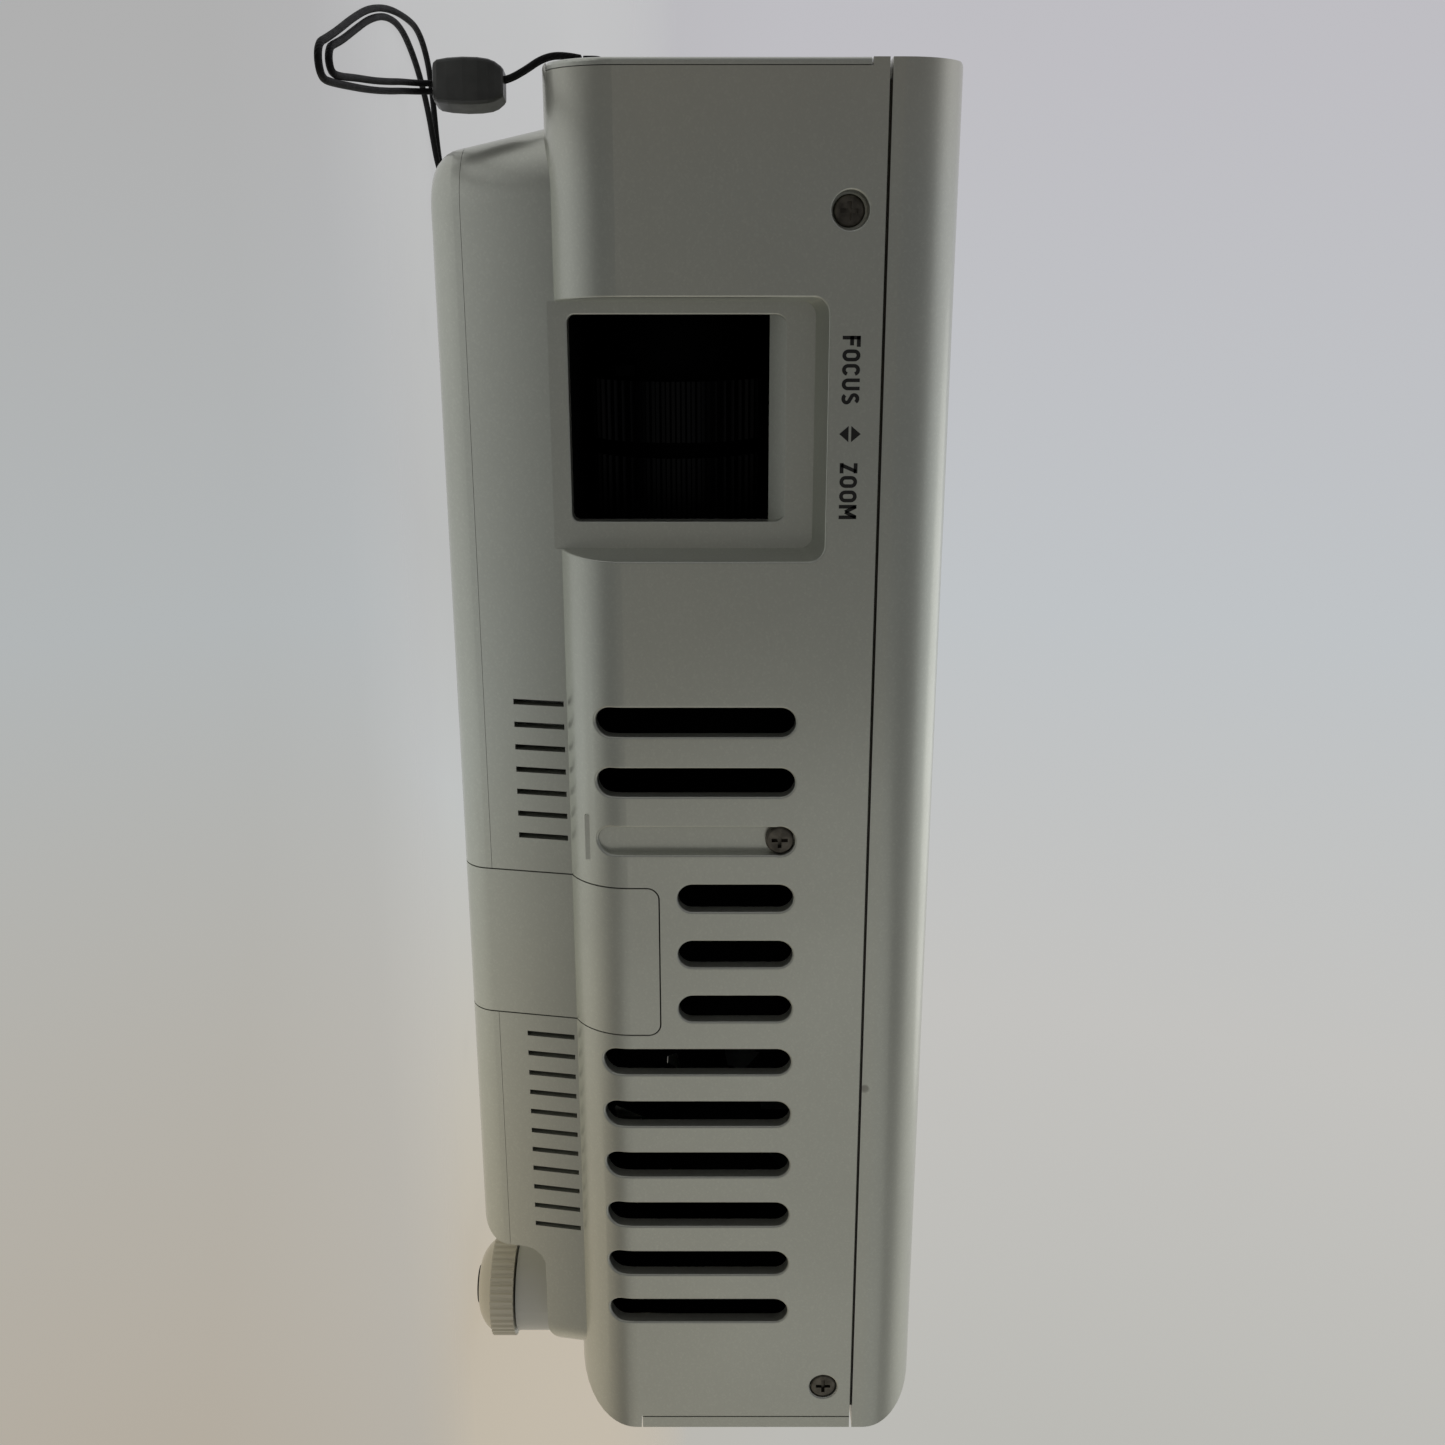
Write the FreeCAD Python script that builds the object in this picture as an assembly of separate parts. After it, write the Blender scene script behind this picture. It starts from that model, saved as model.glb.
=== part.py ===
"""Home projector, modelled as it stands in use.

Frame: millimetres, +Z up, feet on z = 0, lens end towards -Y, so -Y is the front and +Y the
socket panel. The origin is the bottom centre of the whole object.
"""

import FreeCAD, Part
import math
import os

from FreeCAD import Vector

# ---------------------------------------------------------------- driving dimensions (mm)
WIDTH = 380.0
DEPTH = 301.2
HEIGHT = 106.0
WALL = 3.0
GAP = 0.3                      # visible gap round a removable panel

HALF = WIDTH / 2
BACK = 150.0
FRONT = BACK - DEPTH
INNER = HALF - WALL            # inside face of the side walls

BODY_BOTTOM = 27.0             # underside of the main body, above the pedestal
SEAM = 91.5                    # middle of the joint between lower case and top cover
SEAM_GAP = 0.6
EDGE_SIDE_LOW = 14.0           # rounding between side and underside
EDGE_SIDE_HIGH = 12.0
EDGE_BACK_LOW = 13.0
EDGE_BACK_HIGH = 11.0
EDGE_FRONT = 1.5

PEDESTAL_BOTTOM = 4.0
PEDESTAL_END = 107.0           # rear end of the deep part
PEDESTAL_TAIL = 136.0          # rear end of the shallow part
TAIL_BOTTOM = 19.0
PEDESTAL_EDGE = 6.5
PLATE_SEAM = 10.6              # parting line between pedestal wall and base plate

SLOT_COUNT = 12
SLOT_PITCH = 13.0
SLOT_WIDTH = 6.2
SLOT_FIRST = -26.0
SLOT_LOW, SLOT_SHORT, SLOT_HIGH = 35.0, 51.5, 76.0
BLIND_SLOT = 2                 # closed slot that hides a screw
SHORT_SLOTS = (3, 4, 5)        # above the filter door
BLIND_DEPTH = 2.4
FINE_SLOT_PITCH = 5.0
FINE_SLOT_WIDTH = 1.2
FINE_SLOT_ROWS = ((-27.7, 7), (50.2, 11))
FINE_SLOT_LOW, FINE_SLOT_HIGH = 17.0, 27.8

RECESS_DEPTH = 8.0             # lens adjustment recess in the right side
RECESS_FRONT, RECESS_BACK, RECESS_TOP = -109.6, -59.3, 81.2
WINDOW_FRONT, WINDOW_BACK = -106.2, -66.0
WINDOW_LOW, WINDOW_HIGH = 30.8, 70.2

DOOR_FRONT, DOOR_BACK, DOOR_TOP = 10.5, 45.5, 47.7

LENS_X, LENS_Z = 144.0, 51.0
BARREL_R = 16.0
CELL_R = 14.5
RING_R = 19.5
RING_RIDGES = 56
FOCUS_FRONT, FOCUS_BACK = -92.2, -79.6
ZOOM_FRONT, ZOOM_BACK = -76.3, -63.3
RUN = 0.05                     # radial running clearance

CAP_R = 20.2
PROUD = 3.4                    # jack barrels behind the rear face
EYE_PROUD = 2.2                # tether eye in front of the front face
EYE_X, EYE_LOW, EYE_HIGH = 171.0, 34.5, 37.7
BEZEL_EDGE = 1.3               # front plate's visible edge

FOOT_X, FOOT_Y = 164.0, 129.6
KNOB_R = 12.0
COLLAR_R = 10.8
KNOB_TOP = 9.8
SCREW_R = 5.0

SCREW_HEAD_R = 3.0
SIDE_SCREWS = (                # (y, z, depth of the head's seat below the side face)
    (-125.1, 84.7, 5.2),
    (138.4, 84.8, 2.0),
    (0.0, 73.0, BLIND_DEPTH),
)
BASE_SCREWS = ((-166.0, -105.0), (166.0, -105.0), (-166.0, 62.0), (166.0, 62.0))

INSERT_X, INSERT_Y = 120.0, 75.0
INSERT_BORE = 1.65
PAD_X, PAD_Y = 130.0, -112.0

POSTS = (                      # supports on the base plate: (top, places)
    (33.0, ((-168, -28), (-168, 98), (-98, -28), (-98, 96))),
    (40.0, ((-34, 60), (-34, 96), (136, 60), (136, 96))),
    (31.5, ((-64, -90), (-64, 30), (0, 20), (80, 20), (140, -4))),
    (42.0, ((-156, -98), (-104, -98), (-156, -56), (-104, -56))),
    (31.5, ((159, 70), (159, 96))),
    (30.2, ((126, -112), (126, -64), (150, -112), (168, -64))),
)

PANEL_FLOOR = 104.8            # key panel, sunk into the top cover
KEYS = {                       # name: (x, y, half width, half length, corner radius)
    "power_button": (-148.0, 82.0, 6.5, 6.5, 6.4),
    "up_button": (-112.0, 94.0, 6.0, 3.5, 3.0),
    "down_button": (-112.0, 66.0, 6.0, 3.5, 3.0),
    "left_button": (-126.0, 80.0, 3.5, 6.0, 3.0),
    "right_button": (-98.0, 80.0, 3.5, 6.0, 3.0),
    "select_button": (-112.0, 80.0, 5.5, 5.5, 5.4),
    "menu_button": (-82.0, 88.0, 6.0, 3.5, 3.4),
    "input_button": (-82.0, 72.0, 6.0, 3.5, 3.4),
}

LAMP_DOOR_FRONT, LAMP_DOOR_BACK = -117.0, -42.0
LAMP_DOOR_LOW, LAMP_DOOR_HIGH = 41.0, 84.0
LAMP_HINGE_X = -HALF + 1.8
LAMP_HINGE_R = 1.8
LAMP_Z = 62.5

FAN_Y, FAN_Z, FAN_R = 85.0, 60.0, 26.5
FAN_X0, FAN_X1 = 149.0, 169.0

SOCKET_Z = 64.0
TOWER_TOP = 48.0               # foot screws run up inside these towers
SOCKET_BACK = BACK - 9.4       # sockets end against the terminal board
AC_X, ROCKER_X = -150.0, -112.0
ROCKER_Y = 145.5
ROCKER_TILT = 8.0

STRAND = 1.2                   # lens cap tether, two strands
TOGGLE_LOW, TOGGLE_HIGH = 5.6, 19.2
FLOOR_Z = 0.65                 # centre of a strand that lies on the table


# ---------------------------------------------------------------- shape helpers
def at(axis, level, u, v):
    """Point on a plane square to axis; u and v run along the other two axes in X, Y, Z order."""
    return {"X": Vector(level, u, v), "Y": Vector(u, level, v), "Z": Vector(u, v, level)}[axis]


def rounded_wire(axis, level, corners):
    """Closed outline through (u, v, radius) corners, each rounded by a tangent arc."""
    flat = [Vector(u, v, 0) for u, v, _ in corners]
    count = len(corners)
    stops = []
    for i, (_, _, radius) in enumerate(corners):
        into = (flat[i] - flat[i - 1]).normalize()
        out = (flat[(i + 1) % count] - flat[i]).normalize()
        half_turn = into.getAngle(out) / 2
        if radius <= 0 or half_turn < 1e-6:
            stops.append((flat[i], None, flat[i]))
            continue
        reach = radius * math.tan(half_turn)
        inward = (out - into).normalize()
        centre = flat[i] + inward * (radius / math.cos(half_turn))
        stops.append((flat[i] - into * reach, centre - inward * radius, flat[i] + out * reach))
    edges = []
    for i, (start, middle, end) in enumerate(stops):
        if middle is not None:
            points = [at(axis, level, p.x, p.y) for p in (start, middle, end)]
            edges.append(Part.Arc(*points).toShape())
        following = stops[(i + 1) % count][0]
        if (following - end).Length > 1e-6:
            edges.append(Part.makeLine(at(axis, level, end.x, end.y), at(axis, level, following.x, following.y)))
    return Part.Wire(edges)


def prism(axis, low, high, corners):
    face = Part.Face(rounded_wire(axis, low, corners))
    return face.extrude(at(axis, high - low, 0, 0))


def rectangle(u0, u1, v0, v1, radii=0.0):
    if not isinstance(radii, tuple):
        radii = (radii,) * 4
    return list(zip((u0, u1, u1, u0), (v0, v0, v1, v1), radii))


def slab(axis, low, high, u0, u1, v0, v1, radii=0.0):
    """Rounded rectangle u0..u1 by v0..v1, pushed from low to high along axis."""
    return prism(axis, low, high, rectangle(u0, u1, v0, v1, radii))


def block(x0, x1, y0, y1, z0, z1):
    return Part.makeBox(x1 - x0, y1 - y0, z1 - z0, Vector(x0, y0, z0))


def rod(axis, low, high, u, v, radius):
    return Part.makeCylinder(radius, high - low, at(axis, low, u, v), at(axis, 1, 0, 0))


def tube(axis, low, high, u, v, outer, inner):
    return rod(axis, low, high, u, v, outer).cut(rod(axis, low - 1, high + 1, u, v, inner))


def joined(*shapes):
    result = shapes[0].fuse(list(shapes[1:])) if len(shapes) > 1 else shapes[0]
    return result.removeSplitter()


def group(shapes):
    return Part.makeCompound(shapes)


def mirrored(shape):
    return shape.mirror(Vector(0, 0, 0), Vector(1, 0, 0))


def both_sides(shape):
    return [shape, mirrored(shape)]


def filleted(shape, radius, chosen):
    return shape.makeFillet(radius, [edge for edge in shape.Edges if chosen(edge.BoundBox)])


def ridged_outline(outer, depth, ridges, duty=0.5):
    """Points of a knurled circle: flat-topped ridges with sloping sides."""
    step = 2 * math.pi / ridges
    marks = ((0.0, outer - depth), (0.18, outer), (0.18 + duty * 0.64, outer), (0.36 + duty * 0.64, outer - depth))
    return [(r * math.cos(step * (i + f)), r * math.sin(step * (i + f))) for i in range(ridges) for f, r in marks]


def knurled(axis, low, high, u, v, outer, depth, ridges):
    points = [at(axis, low, u + a, v + b) for a, b in ridged_outline(outer, depth, ridges)]
    face = Part.Face(Part.makePolygon(points + points[:1]))
    return face.extrude(at(axis, high - low, 0, 0))


def cross_slot(axis, top, depth, u, v, reach, width):
    """Phillips recess, cut from top down by depth (negative when the head faces the other way)."""
    low, high = sorted((top - depth, top))
    slots = [
        slab(axis, low, high, u - a, u + a, v - b, v + b)
        for a, b in ((reach, width / 2), (width / 2, reach))
    ]
    return joined(*slots)


# ---------------------------------------------------------------- outer form
def body_form(inset=0.0):
    """Main body: a side profile crossed with a front profile, each with its own roundings."""
    low, high = BODY_BOTTOM + inset, HEIGHT - inset
    side_radii = [max(r - inset, 0) for r in (EDGE_FRONT, EDGE_BACK_LOW, EDGE_BACK_HIGH, EDGE_FRONT)]
    front_radii = [max(r - inset, 0) for r in (EDGE_SIDE_LOW, EDGE_SIDE_LOW, EDGE_SIDE_HIGH, EDGE_SIDE_HIGH)]
    side = slab("X", -HALF + inset, HALF - inset, FRONT + inset, BACK - inset, low, high, tuple(side_radii))
    front = slab("Y", FRONT + inset, BACK - inset, -HALF + inset, HALF - inset, low, high, tuple(front_radii))
    return side.common(front)


def pedestal_half(z):
    return 182.0 + (z - 27.0) * 3.0 / 16.0


def pedestal_front(z):
    return -141.0 - (z - 28.0) * 0.2


def pedestal_form(inset=0.0):
    """Pedestal: tapering sides, clipped by a side profile with the step over the rear feet."""
    low, high = PEDESTAL_BOTTOM + inset, 30.0 + inset
    radii = (12.0 - inset, 12.0 - inset, 8.0 - inset, 8.0 - inset)
    sections = []
    for z in (low, high):
        half = pedestal_half(z) - inset
        sections.append(
            rounded_wire("Z", z, rectangle(-half, half, pedestal_front(z) + inset, PEDESTAL_TAIL - inset, radii))
        )
    sides = Part.makeLoft(sections, True, True)
    sides = filleted(sides, PEDESTAL_EDGE - inset, lambda b: b.ZMax < low + 0.01)
    end, tail = PEDESTAL_END - inset, PEDESTAL_TAIL - inset
    profile = prism("X", -HALF, HALF, (
        (FRONT, high, 0), (FRONT, low, 0), (end, low, PEDESTAL_EDGE - inset),
        (end, TAIL_BOTTOM + inset, 5.0 + inset), (tail, TAIL_BOTTOM + inset, 8.0 - inset), (tail, high, 0),
    ))
    return sides.common(profile)


def case_shell():
    return body_form().fuse(pedestal_form()).cut(body_form(WALL).fuse(pedestal_form(WALL)))


def filter_door_space(gap):
    corners = rectangle(DOOR_FRONT + gap, DOOR_BACK - gap, -5.0, DOOR_TOP - gap, (0, 0, 2.8 - gap, 2.8 - gap))
    return prism("X", 166.0 + gap, HALF + 5, corners)


def lamp_door_space(gap):
    radii = (0, 3.0 - gap, 3.0 - gap, 0)
    front = LAMP_DOOR_FRONT if gap else LAMP_DOOR_FRONT - LAMP_HINGE_R - 0.25
    return slab("X", -HALF - 5, -INNER + 0.01, front, LAMP_DOOR_BACK - gap,
                LAMP_DOOR_LOW + gap, LAMP_DOOR_HIGH - gap, radii)


def window_tool():
    """Opening to the lens rings, with a finger ramp along its upper edge."""
    floor = HALF - RECESS_DEPTH
    through = slab("X", floor - 6, floor + 1, WINDOW_FRONT, WINDOW_BACK, WINDOW_LOW, WINDOW_HIGH, (1.5, 1.5, 0, 0))
    ramp = prism("Y", WINDOW_FRONT, WINDOW_BACK, (
        (floor - 6.0, WINDOW_HIGH - 8, 0), (floor + 0.5, WINDOW_HIGH - 8, 0), (floor + 0.5, WINDOW_HIGH + 3.8, 0),
        (floor, WINDOW_HIGH + 3.3, 0), (floor - 3.6, WINDOW_HIGH, 0), (floor - 6.0, WINDOW_HIGH, 0),
    ))
    corners = slab("X", floor - 7, floor + 1, WINDOW_FRONT, WINDOW_BACK, WINDOW_LOW + 5, WINDOW_HIGH + 3.4, (0, 0, 2.4, 2.4))
    return joined(through, ramp.common(corners))


def recess_tool():
    """Sunk finger area round that opening; its walls lean outwards and it runs out at the bottom."""
    sections = []
    for x, front, back, top, corner in (
        (HALF - RECESS_DEPTH, RECESS_FRONT + 0.9, RECESS_BACK - 1.25, RECESS_TOP - 2.1, 2.6),
        (HALF + 1.0, RECESS_FRONT - 0.1, RECESS_BACK + 0.15, RECESS_TOP + 0.25, 3.2),
    ):
        sections.append(rounded_wire("X", x, rectangle(front, back, 10.0, top, (0, 0, corner, corner))))
    return Part.makeLoft(sections, True, True)


def slot_tool(index, low_x, high_x):
    y = SLOT_FIRST + SLOT_PITCH * index
    low = SLOT_SHORT if index in SHORT_SLOTS else SLOT_LOW
    half = SLOT_WIDTH / 2
    return slab("X", low_x, high_x, y - half, y + half, low, SLOT_HIGH, half - 0.01)


def fine_slots():
    half = FINE_SLOT_WIDTH / 2
    tools = []
    for first, count in FINE_SLOT_ROWS:
        for k in range(count):
            y = first + FINE_SLOT_PITCH * k
            tools.append(block(172.0, 182.6, y - half, y + half, FINE_SLOT_LOW, FINE_SLOT_HIGH))
    return tools


def screw_boss(y, z):
    return rod("X", INNER - 8.0, INNER + 0.5, y, z, 5.0)


def screw_bores(y, z, seat):
    wide = SCREW_HEAD_R + (0.5 if seat > 3 else 0.2)
    head = rod("X", HALF - seat, HALF + 1, y, z, wide)
    shank = rod("X", INNER - 7.0, HALF, y, z, 1.6)
    return [head, shank]


# ---------------------------------------------------------------- casing
def recessed_shell():
    """Case wall with the lens recess and its window, their edges rounded."""
    shell = case_shell().common(block(-HALF, HALF, FRONT, BACK, PLATE_SEAM + 0.04, SEAM - SEAM_GAP / 2))
    backing = slab("X", HALF - RECESS_DEPTH - 3.5, INNER + 0.5, RECESS_FRONT - 3, RECESS_BACK + 3,
                   BODY_BOTTOM + 0.5, RECESS_TOP + 3, 2.0).common(body_form(0.1))
    shell = shell.fuse([backing]).cut([recess_tool(), window_tool()])

    def on_rim(bounds):
        beside = bounds.YMin > RECESS_FRONT - 1 and bounds.YMax < RECESS_BACK + 1
        outermost = bounds.XMax > HALF - 0.01 and bounds.XMin > HALF - RECESS_DEPTH + 0.1
        return beside and outermost and (bounds.XMin > HALF - 0.01 or (bounds.ZMax < 41.2 and bounds.YLength < 1.6))

    def on_window(bounds):
        floor = HALF - RECESS_DEPTH
        flat = abs(bounds.XMin - floor) < 0.01 and abs(bounds.XMax - floor) < 0.01
        inside = bounds.YMin > WINDOW_FRONT - 0.1 and bounds.YMax < WINDOW_BACK + 0.1
        return flat and inside and WINDOW_LOW - 0.1 < bounds.ZMin < WINDOW_HIGH + 2

    for radius, chosen in ((0.45, on_rim), (0.4, on_window)):
        shell = filleted(shell, radius, chosen)
    return shell


def lower_case():
    blind_y = SLOT_FIRST + SLOT_PITCH * BLIND_SLOT
    added = both_sides(block(INNER - 3, INNER + 0.5, blind_y - 5, blind_y + 5, 32.0, 79.0))
    for y, z, _ in SIDE_SCREWS:
        added += both_sides(screw_boss(y, z))
    added += both_sides(rod("Z", BODY_BOTTOM + 1, TOWER_TOP, FOOT_X, FOOT_Y, 8.0))
    for x, y in BASE_SCREWS:
        outward = math.copysign(1, x)
        added.append(rod("Z", PEDESTAL_BOTTOM + WALL + 0.2, BODY_BOTTOM + 1, x, y, 4.5))
        web = sorted((x + outward * 2, x + outward * 12))
        added.append(block(web[0], web[1], y - 1.5, y + 1.5, PLATE_SEAM + 0.4, BODY_BOTTOM + 1))
    cuts = [
        block(-HALF - 1, HALF + 1, FRONT - 1, FRONT + BEZEL_EDGE + 0.15, BODY_BOTTOM + 1.2, 88.2),
        body_form(WALL).common(block(-HALF, HALF, FRONT, FRONT + 2 * WALL + 0.5, 0, 88.2)).translated(
            Vector(0, -WALL, 0)),
        block(-HALF - 1, HALF + 1, BACK - WALL - 0.2, BACK + 1, 41.7, SEAM),
        filter_door_space(0), lamp_door_space(0),
    ]
    cuts += both_sides(rod("Z", TAIL_BOTTOM - 3, BODY_BOTTOM + 0.2, FOOT_X, FOOT_Y, COLLAR_R + 0.2).cut(body_form()))
    cuts += both_sides(rod("Z", TAIL_BOTTOM - 3, TOWER_TOP - 2, FOOT_X, FOOT_Y, SCREW_R + 0.08))
    for index in range(SLOT_COUNT):
        low_x = HALF - BLIND_DEPTH if index == BLIND_SLOT else INNER - 4
        cuts += both_sides(slot_tool(index, low_x, HALF + 1))
    for tool in fine_slots():
        cuts += both_sides(tool)
    for y, z, seat in SIDE_SCREWS:
        for bore in screw_bores(y, z, seat):
            cuts += both_sides(bore)
    cuts.append(rod("Z", LAMP_DOOR_LOW - 3.4, LAMP_DOOR_HIGH + 3.4, LAMP_HINGE_X, LAMP_DOOR_FRONT, 0.95))
    cuts += [rod("Z", 0, 17.0, x, y, 1.55) for x, y in BASE_SCREWS]
    shell = recessed_shell().fuse(added).cut(cuts)

    def on_side(bounds):
        flat = abs(abs(bounds.XMin) - HALF) < 0.01 and abs(abs(bounds.XMax) - HALF) < 0.01
        clear_of_rim = bounds.YMin > -140 and bounds.YMax < 146 and bounds.ZMax < 90 and bounds.ZMin > 34.9
        near_lens = bounds.XMin > 0 and bounds.YMin > -112 and bounds.YMax < -57
        near_lamp = bounds.XMin < 0 and bounds.YMin > -122 and bounds.YMax < -40 and bounds.ZMax < 85
        near_filter = bounds.XMin > 0 and bounds.YMin > 10 and bounds.YMax < 46 and bounds.ZMax < 48.5
        return flat and clear_of_rim and not near_lens and not near_lamp and not near_filter

    return filleted(shell, 0.45, on_side)


def bottom_plate():
    plate = case_shell().common(block(-HALF, HALF, FRONT, BACK, 0, PLATE_SEAM - 0.04))
    floor = PEDESTAL_BOTTOM + WALL - 0.5
    bosses = [rod("Z", floor, 14.0, x, y, 5.5) for x, y in insert_places()]
    bosses += [rod("Z", floor, top, x, y, 3.0) for top, places in POSTS for x, y in places]
    cuts = [rod("Z", PEDESTAL_BOTTOM + 0.2, 12.5, x, y, 3.2) for x, y in insert_places()]
    cuts += [rod("Z", 0, 8.0, x, y, 2.2) for x, y in insert_places()]
    for x, y in BASE_SCREWS:
        cuts.append(rod("Z", 0, PEDESTAL_BOTTOM + 1.6, x, y, SCREW_HEAD_R + 0.3))
        cuts.append(rod("Z", 0, 8.0, x, y, 1.7))
    cuts.append(filter_door_space(0))
    return plate.fuse(bosses).cut(cuts)


def insert_places():
    return [(x, y) for x in (-INSERT_X, INSERT_X) for y in (-INSERT_Y, INSERT_Y)]


def top_cover():
    shell = case_shell().common(block(-HALF, HALF, FRONT, BACK, SEAM + SEAM_GAP / 2, HEIGHT))
    low, meet, high = SEAM - 3, SEAM + SEAM_GAP / 2, SEAM + 5.5
    inside = (-INNER + 1.9, INNER - 1.9, FRONT + WALL + 1.9, BACK - WALL - 1.9)
    lip = slab("Z", low, meet + 0.5, -INNER + 0.4, INNER - 0.4, FRONT + WALL + 0.4, BACK - WALL - 0.4)
    lip = lip.fuse(slab("Z", meet, high, -INNER - 0.2, INNER + 0.2, FRONT + WALL - 0.2, BACK - WALL + 0.2))
    lip = lip.cut(slab("Z", low - 1, high + 1, *inside)).common(body_form(0.5))
    panel = slab("Z", PANEL_FLOOR, HEIGHT + 1, -162.0, -70.0, 58.0, 102.0, 6.0)
    cuts = [panel]
    for x, y, half_w, half_l, corner in KEYS.values():
        cuts.append(slab("Z", HEIGHT - 6, HEIGHT, x - half_w - 0.25, x + half_w + 0.25,
                         y - half_l - 0.25, y + half_l + 0.25, corner + 0.25))
    cuts += [rod("Z", HEIGHT - 6, HEIGHT, x, 64.0, 1.25) for x in light_places()]
    for y, z, _ in SIDE_SCREWS:
        cuts += both_sides(rod("X", INNER - 8.5, INNER, y, z, 5.4))
    posts = [rod("Z", 98.4, HEIGHT - 2.5, x, y, 2.5) for x in (-158.0, -74.0) for y in (60.0, 98.0)]
    cover = shell.fuse([lip] + posts).cut(cuts)
    return filleted(cover, 0.5, lambda b: b.ZMin > HEIGHT - 0.01 and b.XMax < -60 and b.XMin > -170)


def light_places():
    return [-148.0 + 5.0 * k for k in (-1, 0, 1)]


def front_bezel():
    face = body_form().common(slab("Y", FRONT, FRONT + BEZEL_EDGE, -HALF, HALF, BODY_BOTTOM + 1.5, 87.9))
    inset = body_form(WALL + 0.3).translated(Vector(0, -WALL - 0.3, 0))
    form = face.fuse(inset.common(slab("Y", FRONT + 1, FRONT + 2.9, -HALF, HALF, BODY_BOTTOM, 87.9)))
    form = form.cut([
        rod("Y", FRONT - 1, FRONT + 4, LENS_X, LENS_Z, 21.4),
        slab("Y", FRONT - 1, FRONT + 4, -30.2, 30.2, 54.8, 65.2, 5.1),
    ])
    return filleted(form, 0.7, lambda b: b.YMax < FRONT + 0.01 and (b.XLength < 70 or b.ZLength > 40))


def rear_panel():
    form = body_form().common(slab("Y", BACK - 2.9, BACK, -HALF, HALF, 42.0, 91.2))
    cuts = [
        slab("Y", BACK - 4, BACK + 1, AC_X - 14.2, AC_X + 14.2, SOCKET_Z - 12.2, SOCKET_Z + 12.2, 3.0),
        slab("Y", BACK - 4, BACK + 1, ROCKER_X - 7.2, ROCKER_X + 7.2, SOCKET_Z - 11.2, SOCKET_Z + 11.2, 1.0),
        slab("Y", BACK - 4, BACK + 1, 168.0, 172.0, 52.0, 60.0, 1.5),
        rod("Y", BACK - 4, BACK + 1, 60.0, 78.0, 3.2),
    ]
    for x, z in jack_places():
        cuts.append(rod("Y", BACK - 4, BACK + 1, x, z, 4.4))
    for x, z, half_w, half_h, corner in video_places():
        cuts.append(slab("Y", BACK - 4, BACK + 1, x - half_w - 0.2, x + half_w + 0.2,
                         z - half_h - 0.2, z + half_h + 0.2, corner + 0.2))
    cuts.append(rod("Y", BACK - 4, BACK + 1, 126.0, SOCKET_Z + 10, 6.4))
    return form.cut(cuts)


def jack_places():
    """Three component jacks in a row and the composite jack beside them."""
    return [(70.0 + 14.0 * k, SOCKET_Z - 8) for k in range(3)] + [(112.0, SOCKET_Z - 8)]


def video_places():
    """HDMI, VGA and serial openings: (x, z, half width, half height, corner)."""
    return [(-34.0, SOCKET_Z, 7.5, 2.9, 1.0), (-2.0, SOCKET_Z, 8.6, 4.2, 2.6), (34.0, SOCKET_Z, 8.6, 4.2, 2.6)]


def lens_trim_ring():
    return tube("Y", FRONT, FRONT + 1.4, LENS_X, LENS_Z, 21.3, 20.5)


def ir_windows():
    front = slab("Y", FRONT + 0.3, FRONT + 2.6, -30.0, 30.0, 55.0, 65.0, 5.0)
    front = filleted(front, 0.6, lambda b: b.YMax < FRONT + 0.31)
    rear = rod("Y", BACK - 2.6, BACK - 0.3, 60.0, 78.0, 3.1)
    return group([front, rear])


def filter_door():
    shell = case_shell().common(filter_door_space(GAP))
    rib = block(178.0, 181.5, DOOR_FRONT + 4, DOOR_BACK - 4, 29.5, 32.4)
    return joined(shell, rib)


def lamp_door():
    panel = slab("X", -HALF, -INNER, LAMP_DOOR_FRONT, LAMP_DOOR_BACK - GAP,
                 LAMP_DOOR_LOW + GAP, LAMP_DOOR_HIGH - GAP, (0, 2.7, 2.7, 0))
    barrel = rod("Z", LAMP_DOOR_LOW + GAP, LAMP_DOOR_HIGH - GAP, LAMP_HINGE_X, LAMP_DOOR_FRONT, LAMP_HINGE_R)
    pin = rod("Z", LAMP_DOOR_LOW - 3.0, LAMP_DOOR_HIGH + 3.0, LAMP_HINGE_X, LAMP_DOOR_FRONT, 0.9)
    notch = slab("X", -HALF - 1, -HALF + 1.6, LAMP_DOOR_BACK - 9, LAMP_DOOR_BACK - 4, 52.0, 68.0, 2.4)
    return joined(panel, barrel, pin).cut(notch)


def side_screw(y, z, seat):
    top = HALF - seat + (1.7 if seat > 2.1 else 1.8)
    head = rod("X", HALF - seat, top, y, z, SCREW_HEAD_R)
    shank = rod("X", INNER - 6.5, HALF - seat + 0.1, y, z, 1.5)
    cross = cross_slot("X", top, 1.1, y, z, 1.7, 0.8)
    screw = joined(head, shank)
    screw = filleted(screw, 0.5, lambda b: b.XMin > top - 0.01)
    return screw.cut(cross)


def case_screws():
    screws = []
    for y, z, seat in SIDE_SCREWS:
        screws += both_sides(side_screw(y, z, seat))
    for x, y in BASE_SCREWS:
        head = rod("Z", PEDESTAL_BOTTOM + 0.1, PEDESTAL_BOTTOM + 1.6, x, y, SCREW_HEAD_R)
        shank = rod("Z", PEDESTAL_BOTTOM + 1.5, 16.0, x, y, 1.5)
        cross = cross_slot("Z", PEDESTAL_BOTTOM + 1.2, 1.2, x, y, 1.7, 0.8)
        screws.append(joined(head, shank).cut(cross))
    return group(screws)


def mount_inserts():
    inserts = []
    for x, y in insert_places():
        sleeve = tube("Z", PEDESTAL_BOTTOM + 0.2, 12.5, x, y, 3.2, INSERT_BORE)
        inserts.append(sleeve)
    return group(inserts)


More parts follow.
